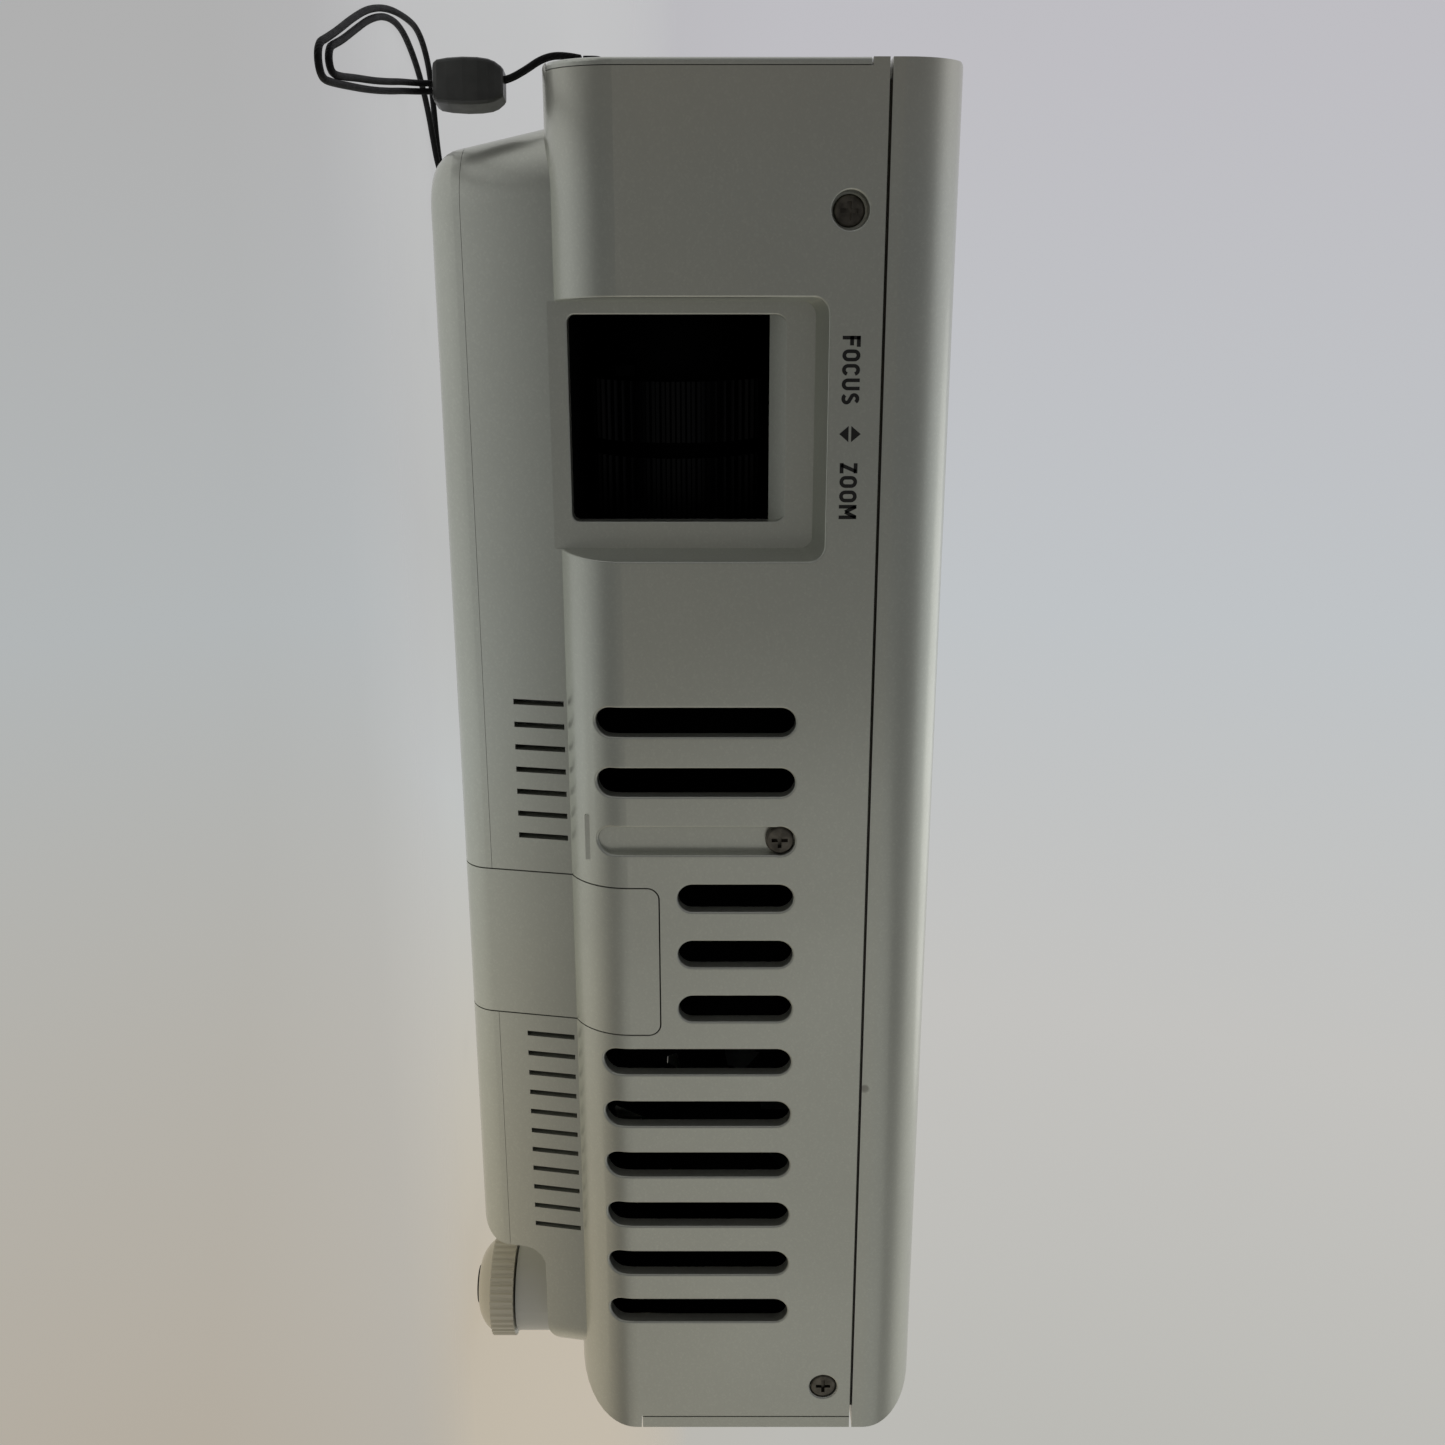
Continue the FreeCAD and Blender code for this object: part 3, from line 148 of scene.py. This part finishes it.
def value_noise(tree, coords, scale, detail=2.0):
    noise = tree.nodes.new("ShaderNodeTexNoise")
    noise.inputs["Scale"].default_value = scale
    noise.inputs["Detail"].default_value = detail
    tree.links.new(coords, noise.inputs["Vector"])
    return noise.outputs["Fac"]


def ranged(tree, value, low, high, to_low, to_high):
    node = tree.nodes.new("ShaderNodeMapRange")
    node.inputs["From Min"].default_value, node.inputs["From Max"].default_value = low, high
    node.inputs["To Min"].default_value, node.inputs["To Max"].default_value = to_low, to_high
    tree.links.new(value, node.inputs["Value"])
    return node.outputs["Result"]


def combined(tree, operation, first, second):
    node = tree.nodes.new("ShaderNodeMath")
    node.operation = operation
    tree.links.new(first, node.inputs[0])
    tree.links.new(second, node.inputs[1])
    return node.outputs["Value"]


def mixed(tree, factor, first, second):
    node = tree.nodes.new("ShaderNodeMix")
    node.data_type = "RGBA"
    tree.links.new(factor, node.inputs[0])
    for socket, colour in ((node.inputs[6], first), (node.inputs[7], second)):
        if isinstance(colour, tuple):
            socket.default_value = (*colour, 1.0)
        else:
            tree.links.new(colour, socket)
    return node.outputs[2]


def scaled(colour, k):
    return tuple(min(1.0, c * k) for c in colour)


def surface(name, colour, rough, metallic=0.0, grain=0.0004, bump=0.15, tone=0.08, patch=0.03,
            rough_spread=0.06, fleck=0.0, coat=0.0, coat_rough=0.2, sheen=0.0, specular=0.5):
    """A moulded, painted or plated finish: fine grain, slow colour drift, uneven gloss, optional flecks."""
    material = bpy.data.materials.new(name)
    material.use_nodes = True
    tree = material.node_tree
    shader = tree.nodes["Principled BSDF"]
    coords = tree.nodes.new("ShaderNodeTexCoord").outputs["Object"]
    drift = ranged(tree, value_noise(tree, coords, 1 / patch, 4.0), 0.35, 0.65, 0.0, 1.0)
    tint = mixed(tree, drift, scaled(colour, 1 - tone), scaled(colour, 1 + tone))
    if fleck:
        cells = tree.nodes.new("ShaderNodeTexVoronoi")
        cells.inputs["Scale"].default_value = 2600.0
        tree.links.new(coords, cells.inputs["Vector"])
        spark = ranged(tree, cells.outputs["Color"], 0.55, 1.0, 0.0, fleck)
        tint = mixed(tree, spark, tint, scaled(colour, 1.6))
    tree.links.new(tint, shader.inputs["Base Color"])
    gloss = value_noise(tree, coords, 1 / (patch * 0.6), 3.0)
    uneven = ranged(tree, gloss, 0.3, 0.7, rough - rough_spread, rough + rough_spread)
    tree.links.new(uneven, shader.inputs["Roughness"])
    relief = tree.nodes.new("ShaderNodeBump")
    relief.inputs["Strength"].default_value = bump
    relief.inputs["Distance"].default_value = grain * 0.25
    tree.links.new(value_noise(tree, coords, 1 / grain, 2.0), relief.inputs["Height"])
    tree.links.new(relief.outputs["Normal"], shader.inputs["Normal"])
    shader.inputs["Metallic"].default_value = metallic
    shader.inputs["Specular IOR Level"].default_value = specular
    shader.inputs["Coat Weight"].default_value = coat
    shader.inputs["Coat Roughness"].default_value = coat_rough
    shader.inputs["Sheen Weight"].default_value = sheen
    return material


def glass(name, tint, rough=0.03, clear=True):
    material = bpy.data.materials.new(name)
    material.use_nodes = True
    tree = material.node_tree
    shader = tree.nodes["Principled BSDF"]
    coords = tree.nodes.new("ShaderNodeTexCoord").outputs["Object"]
    smear = value_noise(tree, coords, 120.0, 3.0)
    tree.links.new(ranged(tree, smear, 0.4, 0.8, rough, rough + 0.05), shader.inputs["Roughness"])
    shader.inputs["Base Color"].default_value = (*tint, 1.0)
    shader.inputs["Transmission Weight"].default_value = 1.0 if clear else 0.0
    shader.inputs["IOR"].default_value = 1.52
    shader.inputs["Coat Weight"].default_value = 0.4
    shader.inputs["Coat Tint"].default_value = (0.75, 0.8, 1.0, 1.0)
    return material


def braided(name, colour):
    """Fine woven cover of a thin cord."""
    material = surface(name, colour, 0.7, grain=0.0003, bump=0.3, tone=0.25, patch=0.004, sheen=0.04,
                       specular=0.25)
    tree = material.node_tree
    coords = tree.nodes.new("ShaderNodeTexCoord").outputs["Object"]
    weave = tree.nodes.new("ShaderNodeTexWave")
    weave.bands_direction = "DIAGONAL"
    weave.inputs["Scale"].default_value = 620.0
    weave.inputs["Distortion"].default_value = 1.2
    tree.links.new(coords, weave.inputs["Vector"])
    relief = tree.nodes.new("ShaderNodeBump")
    relief.inputs["Strength"].default_value = 0.5
    relief.inputs["Distance"].default_value = 0.00012
    tree.links.new(weave.outputs["Fac"], relief.inputs["Height"])
    old = tree.nodes["Bump"]
    tree.links.new(old.outputs["Normal"], relief.inputs["Normal"])
    tree.links.new(relief.outputs["Normal"], tree.nodes["Principled BSDF"].inputs["Normal"])
    return material


def pearl_paint(name, colour, wear_and_painted_light=True):
    """Greenish silver pearl paint. With wear and painted light: faint handling marks, a painted warm
    reflection towards the front, painted shade in the shell joint.
    """
    material = surface(name, colour, 0.34, metallic=0.72, grain=0.00032, bump=0.10, tone=0.02, patch=0.06,
                       rough_spread=0.04, fleck=0.14, coat=0.5, coat_rough=0.12)
    if not wear_and_painted_light:
        return material
    tree = material.node_tree
    shader = tree.nodes["Principled BSDF"]
    before = shader.inputs["Base Color"].links[0].from_socket
    coords = tree.nodes.new("ShaderNodeTexCoord").outputs["Object"]
    speck = tree.nodes.new("ShaderNodeTexVoronoi")
    speck.feature = "SMOOTH_F1"
    speck.inputs["Scale"].default_value = 34.0
    speck.inputs["Randomness"].default_value = 1.0
    tree.links.new(coords, speck.inputs["Vector"])
    dots = ranged(tree, speck.outputs["Distance"], 0.012, 0.026, 0.55, 0.0)
    marked = mixed(tree, dots, before, HANDLING_MARK)
    split = tree.nodes.new("ShaderNodeSeparateXYZ")
    tree.links.new(coords, split.inputs["Vector"])
    # painted reflection: the paint turns warmer towards the front
    ahead = ranged(tree, split.outputs["Y"], -0.128, -0.150, 0.0, 0.32)
    with_painted_reflection = mixed(tree, ahead, marked, WARM_PAINTED_REFLECTION)
    # painted shade: the paint turns near black in the shell joint's height band
    painted_joint_shade = tree.nodes.new("ShaderNodeMath")
    painted_joint_shade.operation = "COMPARE"
    painted_joint_shade.inputs[1].default_value = SHELL_JOINT_Z * MM
    painted_joint_shade.inputs[2].default_value = SHELL_JOINT_HALF * MM
    tree.links.new(split.outputs["Z"], painted_joint_shade.inputs[0])
    tree.links.new(mixed(tree, painted_joint_shade.outputs["Value"], with_painted_reflection, JOINT_PAINTED_SHADE), shader.inputs["Base Color"])
    return material


# ---------------------------------------------------------------- stage
def shade(tree, source, stops):
    """Colour ramp over a value from 0 to 1."""
    ramp = tree.nodes.new("ShaderNodeValToRGB")
    while len(ramp.color_ramp.elements) < len(stops):
        ramp.color_ramp.elements.new(0.5)
    for element, (place, colour) in zip(ramp.color_ramp.elements, stops):
        element.position = place
        element.color = (*colour, 1.0)
    tree.links.new(source, ramp.inputs["Fac"])
    return ramp.outputs["Color"]


# colour stops: of the background on the side of the projector's top, on the side of its base, and of the
# floor
WALL_SHADE = ((0.29, (0.529, 0.523, 0.555)), (0.55, (0.507, 0.531, 0.550)), (0.74, (0.514, 0.508, 0.491)),
              (0.9, (0.460, 0.455, 0.428)))
SHEET_SHADE = ((0.29, (0.441, 0.441, 0.441)), (0.55, (0.433, 0.454, 0.460)), (0.74, (0.429, 0.414, 0.379)),
               (0.9, (0.418, 0.377, 0.317)))
FLOOR_SHADE = ((0.0, (0.43, 0.432, 0.435)), (0.3, (0.41, 0.415, 0.415)), (0.5, (0.44, 0.45, 0.45)),
               (0.75, (0.45, 0.43, 0.385)), (1.0, (0.43, 0.385, 0.315)))
FLOOR_HALF_X, FLOOR_HALF_Y = 3, 4
# the floor clears where all four edges are past their second value, so that it doesn't light the right side
BESIDE = (("X", 0.18, 0.24), ("X", 0.75, 0.5), ("Y", -0.5, -0.3), ("Y", 0.42, 0.25))
FAR = (-0.15, -1.6)                     # X, and it clears behind the projector
ROUND_X = ((0.0, 0.49), (0.2, 0.49), (0.4, 0.60), (0.54, 0.47), (0.68, 0.17), (0.8, 0.115))


def make_stage():
    x, y = FLOOR_HALF_X, FLOOR_HALF_Y
    floor = mesh_of("floor", [(-x, -y, 0), (x, -y, 0), (x, y, 0), (-x, y, 0)], [(0, 1, 2, 3)])
    material = bpy.data.materials.new("floor")
    material.use_nodes = True
    tree = material.node_tree
    shader = tree.nodes["Principled BSDF"]
    coords = tree.nodes.new("ShaderNodeTexCoord").outputs["Object"]
    split = tree.nodes.new("ShaderNodeSeparateXYZ")
    tree.links.new(coords, split.inputs["Vector"])
    lean = tree.nodes.new("ShaderNodeVectorMath")
    lean.operation = "DOT_PRODUCT"
    lean.inputs[1].default_value = (0.5, 1.0, 0.0)
    tree.links.new(coords, lean.inputs[0])
    along = ranged(tree, lean.outputs["Value"], -0.06, 0.22, 0.0, 1.0)
    colour = shade(tree, along, FLOOR_SHADE)
    edges = [ranged(tree, split.outputs[axis], low, high, 0.0, 1.0) for axis, low, high in BESIDE]
    beside = edges[0]
    for edge in edges[1:]:
        beside = combined(tree, "MULTIPLY", beside, edge)
    gone = combined(tree, "MAXIMUM", beside, ranged(tree, split.outputs["X"], *FAR, 0.0, 1.0))
    dull = tree.nodes.new("ShaderNodeVectorMath")
    dull.operation = "SCALE"
    dull.inputs["Scale"].default_value = 0.3
    tree.links.new(colour, dull.inputs[0])
    tree.links.new(dull.outputs["Vector"], shader.inputs["Base Color"])
    # painted light: the floor glows in its own colours though it is no lamp, less towards +X; the glow lights
    # the part and keeps shadows on the floor faint
    tree.links.new(colour, shader.inputs["Emission Color"])
    tree.links.new(ranged(tree, split.outputs["X"], 0.2, 1.2, 1.1, 0.25), shader.inputs["Emission Strength"])
    clear = tree.nodes.new("ShaderNodeBsdfTransparent")
    blend = tree.nodes.new("ShaderNodeMixShader")
    tree.links.new(gone, blend.inputs["Fac"])
    tree.links.new(shader.outputs["BSDF"], blend.inputs[1])
    tree.links.new(clear.outputs["BSDF"], blend.inputs[2])
    tree.links.new(blend.outputs["Shader"], tree.nodes["Material Output"].inputs["Surface"])
    shader.inputs["Roughness"].default_value = 0.9
    shader.inputs["Specular IOR Level"].default_value = 0.1
    ground = bpy.data.objects.new("floor", floor)
    floor.materials.append(material)
    scene.collection.objects.link(ground)


def make_world():
    world = bpy.data.worlds.new("world")
    world.use_nodes = True
    tree = world.node_tree
    background = tree.nodes["Background"]
    direction = tree.nodes.new("ShaderNodeTexCoord").outputs["Generated"]
    split = tree.nodes.new("ShaderNodeSeparateXYZ")
    tree.links.new(direction, split.inputs["Vector"])
    along = ranged(tree, split.outputs["Y"], -0.5, 0.8, 0.0, 1.0)
    across = ranged(tree, split.outputs["Z"], -0.30, 0.04, 0.0, 1.0)
    both = mixed(tree, across, shade(tree, along, SHEET_SHADE), shade(tree, along, WALL_SHADE))
    tree.links.new(both, background.inputs["Color"])
    round_x = shade(tree, ranged(tree, split.outputs["X"], -1.0, 1.0, 0.0, 1.0),
                    [(place, (grey,) * 3) for place, grey in ROUND_X])
    level = tree.nodes.new("ShaderNodeMath")
    level.operation = "MULTIPLY_ADD"
    tree.links.new(round_x, level.inputs[0])
    level.inputs[1].default_value = 2.0
    tree.links.new(ranged(tree, split.outputs["Y"], -0.15, 0.6, 0.0, 0.10), level.inputs[2])
    tree.links.new(level.outputs["Value"], background.inputs["Strength"])
    scene.world = world


def area_light(name, place, target, size, power, colour=(1, 1, 1)):
    light = bpy.data.lights.new(name, "AREA")
    light.shape, light.size, light.energy, light.color = "DISK", size, power, colour
    holder = bpy.data.objects.new(name, light)
    holder.location = place
    holder.rotation_euler = (Vector(target) - Vector(place)).to_track_quat("-Z", "Y").to_euler()
    scene.collection.objects.link(holder)


def make_lights():
    area_light("key", (-0.9, 0.5, 1.6), (0, 0, 0.05), 1.2, 1.8, (1.0, 0.99, 0.97))
    area_light("fill", (0.62, 0.40, 0.14), (0.19, 0.06, 0.05), 0.6, 0.20, (1.0, 1.0, 0.97))
    scene.view_settings.view_transform = "Standard"


# ---------------------------------------------------------------- cords
STRAND = 1.2                  # diameter; the strand, its routes and the toggle are in millimetres
ROUTE_A = (
    (145.3, -131.0, 2.4), (145.0, -135.4, 1.2), (144.4, -141.0, 0.65), (146.0, -148.2, 0.65),
    (149.4, -155.6, 0.65), (158.4, -160.2, 0.65), (171.6, -160.5, 0.65), (187.0, -159.6, 0.65),
    (202.0, -157.2, 0.65), (215.0, -153.7, 0.65), (225.6, -150.4, 0.65), (233.0, -148.3, 0.65),
    (238.0, -147.0, 0.65), (239.3, -144.4, 0.65), (237.6, -142.1, 0.65), (231.8, -142.2, 0.65),
    (222.0, -142.8, 0.65), (206.0, -143.9, 0.65), (190.0, -145.4, 0.65), (178.4, -146.7, 0.65),
    (172.8, -147.2, 2.2), (170.9, -147.4, 5.6), (170.4, -148.3, 12.4), (170.3, -149.2, 19.2),
    (170.3, -150.9, 22.8), (170.3, -153.3, 26.6), (170.3, -153.9, 30.4), (170.3, -153.2, 33.9),
)
ROUTE_B = (
    (146.8, -131.0, 2.4), (147.2, -135.2, 1.2), (148.2, -140.2, 0.65), (152.0, -145.4, 0.65),
    (157.4, -150.2, 0.65), (165.2, -154.8, 0.65), (175.6, -158.2, 0.65), (188.4, -158.1, 0.65),
    (201.6, -155.7, 0.65), (213.6, -152.2, 0.65), (222.6, -149.5, 0.65), (227.8, -148.2, 0.65),
    (231.4, -147.3, 0.65), (232.8, -145.3, 0.65), (231.2, -143.5, 0.65), (224.8, -143.8, 0.65),
    (215.6, -144.7, 0.65), (202.0, -145.8, 0.65), (189.0, -147.1, 0.65), (178.4, -148.3, 0.65),
    (172.8, -148.7, 2.2), (170.9, -148.8, 5.6), (171.5, -148.9, 12.4), (171.8, -149.2, 19.2),
    (171.8, -150.9, 22.8), (171.8, -153.3, 26.6), (171.8, -153.9, 30.4), (171.8, -153.2, 33.9),
)
TOGGLE_CENTRE = (171.1, -148.4)
TOGGLE_HALF_X, TOGGLE_HALF_Y, TOGGLE_CORNER, TOGGLE_TURN = 3.7, 4.4, 0.9, math.radians(12)
TOGGLE_SECTIONS = (           # height, share of the full section
    (5.65, 0.66), (5.9, 0.80), (6.6, 0.90), (8.6, 0.965), (11.6, 1.0), (14.4, 0.985), (16.4, 0.93),
    (17.6, 0.84), (18.7, 0.68), (19.1, 0.58),
)


def make_toggle(material):
    """Barrel-shaped block on the two strands, a little turned about its length."""
    flat_x, flat_y = TOGGLE_HALF_X - TOGGLE_CORNER, TOGGLE_HALF_Y - TOGGLE_CORNER
    turn_cos, turn_sin = math.cos(TOGGLE_TURN), math.sin(TOGGLE_TURN)
    ring = []
    for sx, sy, start in ((1, 1, 0), (-1, 1, 90), (-1, -1, 180), (1, -1, 270)):
        for step in (0, 30, 60, 90):
            a = math.radians(start + step)
            ring.append((sx * flat_x + TOGGLE_CORNER * math.cos(a),
                         sy * flat_y + TOGGLE_CORNER * math.sin(a)))
    verts, faces = [], []
    for z, share in TOGGLE_SECTIONS:
        for u, v in ring:
            x, y = u * share, v * share
            verts.append(Vector((
                TOGGLE_CENTRE[0] + x * turn_cos + y * turn_sin,
                TOGGLE_CENTRE[1] + y * turn_cos - x * turn_sin, z)) * MM)
    n = len(ring)
    for i in range(len(TOGGLE_SECTIONS) - 1):
        for k in range(n):
            a, b = i * n + k, i * n + (k + 1) % n
            faces.append((a, b, b + n, a + n))
    faces.append(tuple(reversed(range(n))))
    faces.append(tuple(range((len(TOGGLE_SECTIONS) - 1) * n, len(TOGGLE_SECTIONS) * n)))
    toggle = new_piece("cord_toggle", mesh_of("cord_toggle", verts, faces), material, "chassis",
                       smooth=False)
    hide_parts("tether_toggle")
    return toggle


def make_tether():
    material = braided("cord_black", (0.004, 0.004, 0.0045))
    moulded = surface("toggle_black", (0.042, 0.043, 0.038), 0.38, grain=0.0002, bump=0.12, tone=0.15,
                      patch=0.004, coat=0.1)
    toggle = make_toggle(moulded)
    for label, route in (("a", ROUTE_A), ("b", ROUTE_B)):
        path = centreline(route)
        length = sum((q - p).length for p, q in zip(path, path[1:]))
        strand = new_piece("strand_" + label, tube_mesh("strand_" + label, path, STRAND / 2 * MM),
                           material, None)
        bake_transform(strand)
        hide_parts("tether_long_" + label, "tether_short_" + label)
        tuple(path[0])


# ---------------------------------------------------------------- finishes of the CAD nodes
def finish_nodes():
    silver = (0.60, 0.615, 0.545)
    body_paint = pearl_paint("pearl_body", silver)
    door_paint = pearl_paint("pearl_door", silver, wear_and_painted_light=False)
    # painted highlight: the front bezel has the case paint made lighter, for the light its edge catches
    bezel_painted_highlight = pearl_paint("pearl_bezel_painted_highlight", scaled(silver, 1.06), wear_and_painted_light=False)
    black = surface("black_plastic", (0.014, 0.014, 0.016), 0.42, bump=0.2, tone=0.2)
    ring = surface("ring_rubber", (0.0012, 0.0012, 0.0018), 0.35, grain=0.0002, bump=0.25, tone=0.2,
                   specular=0.16)
    deep = surface("shroud_black", (0.0008, 0.0008, 0.001), 0.85, bump=0.3, tone=0.2, specular=0.06)
    gloss = surface("black_gloss", (0.012, 0.012, 0.014), 0.18, bump=0.05, tone=0.1, coat=0.4)
    grey = surface("grey_plastic", (0.035, 0.035, 0.038), 0.55, bump=0.2, tone=0.12)
    ivory = surface("knob_ivory", (0.62, 0.60, 0.50), 0.34, grain=0.0003, bump=0.08, tone=0.05, coat=0.2)
    collar = surface("collar_white", (0.60, 0.61, 0.57), 0.38, bump=0.08, tone=0.04, coat=0.1)
    rubber = surface("pad_rubber", (0.02, 0.02, 0.02), 0.8, grain=0.0006, bump=0.5, tone=0.25)
    screw = surface("screw_steel", (0.13, 0.12, 0.10), 0.34, metallic=0.9, bump=0.2, tone=0.35, patch=0.002)
    brass = surface("insert_brass", (0.62, 0.45, 0.18), 0.3, metallic=1.0, bump=0.1, tone=0.1, patch=0.004)
    nickel = surface("contact_metal", (0.62, 0.62, 0.60), 0.28, metallic=1.0, bump=0.1, tone=0.1, patch=0.006)
    board = surface("board_green", (0.02, 0.10, 0.045), 0.35, grain=0.0008, bump=0.2, tone=0.25,
                    patch=0.012, coat=0.3)
    chips = surface("component_plastic", (0.03, 0.03, 0.035), 0.4, bump=0.2, tone=0.3, patch=0.015)
    mirror = surface("reflector", (0.85, 0.85, 0.86), 0.06, metallic=1.0, bump=0.02, tone=0.03)
    foam = surface("filter_foam", (0.05, 0.05, 0.05), 0.95, grain=0.0012, bump=1.0, tone=0.4, patch=0.003)
    infrared = surface("infrared_plastic", (0.030, 0.006, 0.009), 0.12, bump=0.02, tone=0.1, coat=0.5)
    keys = surface("key_plastic", (0.33, 0.345, 0.335), 0.36, metallic=0.1, bump=0.08, tone=0.04, coat=0.15)
    pipe = surface("light_pipe", (0.20, 0.55, 0.28), 0.2, bump=0.02, tone=0.05, coat=0.5)
    lens = glass("lens_glass", (0.92, 0.96, 1.0))
    panel = glass("panel_glass", (0.10, 0.11, 0.14), 0.08, clear=False)
    table = {
        body_paint: ("lower_case", "bottom_plate", "top_cover", "lamp_door", "rear_panel"),
        door_paint: ("filter_door",),
        bezel_painted_highlight: ("front_bezel",),
        black: ("lens_trim_ring", "lens_cap", "front_lens_cell", "zoom_lens_cell", "tether_anchor",
                "air_filter_frame"),
        ring: ("focus_ring", "zoom_ring"),
        deep: ("lens_barrel", "lens_shroud", "exhaust_fan_frame", "exhaust_fan_rotor", "exhaust_duct",
               "light_engine"),
        gloss: ("ac_inlet", "power_rocker"),
        grey: ("lamp_housing",),
        ivory: ("foot_knob_right", "foot_knob_left"),
        collar: ("foot_collars",),
        rubber: ("front_pads", "foot_pad_right", "foot_pad_left"),
        screw: ("case_screws",),
        brass: ("mount_inserts",),
        nickel: ("socket_contacts", "video_sockets", "component_jacks"),
        board: ("power_supply_board", "main_board", "terminal_board", "key_board"),
        chips: ("board_components",),
        mirror: ("lamp_reflector",),
        foam: ("air_filter_mesh",),
        infrared: ("ir_windows",),
        keys: tuple(n for n in nodes if n.endswith("_button")),
        pipe: ("status_lights",),
        lens: ("front_lens", "cross_prism"),
        panel: ("lcd_panels",),
    }
    for material, names in table.items():
        for name in names:
            mesh = nodes[name].data
            if not mesh.materials:
                mesh.materials.append(material)
            for i in range(len(mesh.materials)):
                mesh.materials[i] = material


# ---------------------------------------------------------------- lettering
STROKE = 0.215                # stroke width as a share of the letters' height
LETTER_GAP = 0.15             # gap between letters, in the same share
PRINT_X = 190.03              # just proud of the side face, mm
PRINT_LOW, PRINT_HIGH = 83.75, 87.2
ARROW_FRONT, ARROW_MIDDLE, ARROW_REAR = -85.8, -84.25, -82.7


def arc(u, v, radius_u, radius_v, start, end, steps=9):
    """Centre line of a round stretch of a letter, angles in degrees."""
    angles = [math.radians(start + (end - start) * k / steps) for k in range(steps + 1)]
    return [(u + radius_u * math.cos(a), v + radius_v * math.sin(a)) for a in angles]


def letter(name):
    """Width of a plain capital, and the centre lines of its strokes."""
    e, top = STROKE / 2, 1 - STROKE / 2
    if name == "F":
        return 0.64, [[(e, 0), (e, 1)], [(0, top), (0.64, top)], [(0, 0.52), (0.56, 0.52)]]
    if name == "Z":
        return 0.60, [[(0.01, top), (0.60, top)], [(0.49, 0.92), (0.11, 0.08)], [(0, e), (0.60, e)]]
    if name == "M":
        return 0.84, [[(e, 0), (e, 1)], [(0.84 - e, 0), (0.84 - e, 1)], [(0.11, 0.96), (0.42, 0.36)],
                      [(0.73, 0.96), (0.42, 0.36)]]
    width = 0.70
    c, r, low, high = width / 2, width / 2 - e, 0.33, 0.67
    if name == "O":
        loop = arc(c, high, r, top - high, 0, 180) + arc(c, low, r, low - e, 180, 360)
        return width, [loop + loop[:1]]
    if name == "C":
        return width, [arc(c, high, r, top - high, 12, 180) + arc(c, low, r, low - e, 180, 348)]
    if name == "U":
        return width, [[(e, 1), (e, low)] + arc(c, low, r, low - e, 180, 360) + [(width - e, 1)]]
    upper = arc(c, 0.71, r * 0.93, top - 0.71, 28, 180) + arc(c - 0.02, 0.71, r * 0.86, 0.17, 190, 250, 4)
    lower = arc(c + 0.02, 0.29, r * 0.86, 0.17, 70, 10, 4) + arc(c, 0.29, r * 0.95, 0.29 - e, 0, -152)
    return width * 0.96, [upper + lower]


def ribbon(line, to_place, verts, faces):
    """Flat stroke of even width along a centre line, with square ends."""
    closed = line[0] == line[-1]
    count = len(line) - 1 if closed else len(line)
    first = len(verts)
    for i in range(count):
        here = Vector(line[i])
        before = Vector(line[(i - 1) % count]) if closed or i else here
        after = Vector(line[(i + 1) % count]) if closed or i < count - 1 else here
        into, out = (here - before), (after - here)
        along = (into.normalized() + out.normalized()).normalized()
        side = Vector((-along.y, along.x)) * STROKE / 2
        verts += [to_place(here - side), to_place(here + side)]
    for i in range(count if closed else count - 1):
        a, b = first + 2 * i, first + 2 * ((i + 1) % count)
        faces.append((a, b, b + 1, a + 1))


def lettering(words, y0, y1, z0, z1, material):
    """Plain capitals that read from front to rear on the right side face."""
    glyphs = [letter(c) for c in words]
    total = sum(w for w, _ in glyphs) + LETTER_GAP * (len(words) - 1)
    across, height = (y1 - y0) / total, z1 - z0
    verts, faces, u = [], [], 0.0
    for width, strokes in glyphs:
        def to_place(p, u=u):
            return Vector((PRINT_X, y0 + (u + p[0]) * across, z0 + p[1] * height)) * MM
        for line in strokes:
            ribbon(line, to_place, verts, faces)
        u += width + LETTER_GAP
    new_piece("lettering_" + words.lower(), mesh_of(words, verts, faces), material, "chassis", smooth=False)


def make_lettering():
    ink = surface("lettering_ink", (0.012, 0.012, 0.011), 0.5, grain=0.0002, bump=0.1, tone=0.2, patch=0.004)
    lettering("FOCUS", -102.6, -89.9, PRINT_LOW, PRINT_HIGH, ink)
    lettering("ZOOM", -78.7, -67.8, PRINT_LOW, PRINT_HIGH, ink)
    verts, faces = [], []
    for tip, base in ((83.5, 85.3), (87.65, 85.8)):
        n = len(verts)
        corners = ((ARROW_FRONT, base), (ARROW_REAR, base), (ARROW_MIDDLE, tip))
        verts += [Vector((PRINT_X, y, z)) * MM for y, z in corners]
        faces.append((n, n + 1, n + 2) if tip > base else (n, n + 2, n + 1))
    new_piece("lettering_arrows", mesh_of("arrows", verts, faces), ink, "chassis", smooth=False)


make_camera()
make_tether()
finish_nodes()
make_lettering()
make_stage()
make_world()
make_lights()
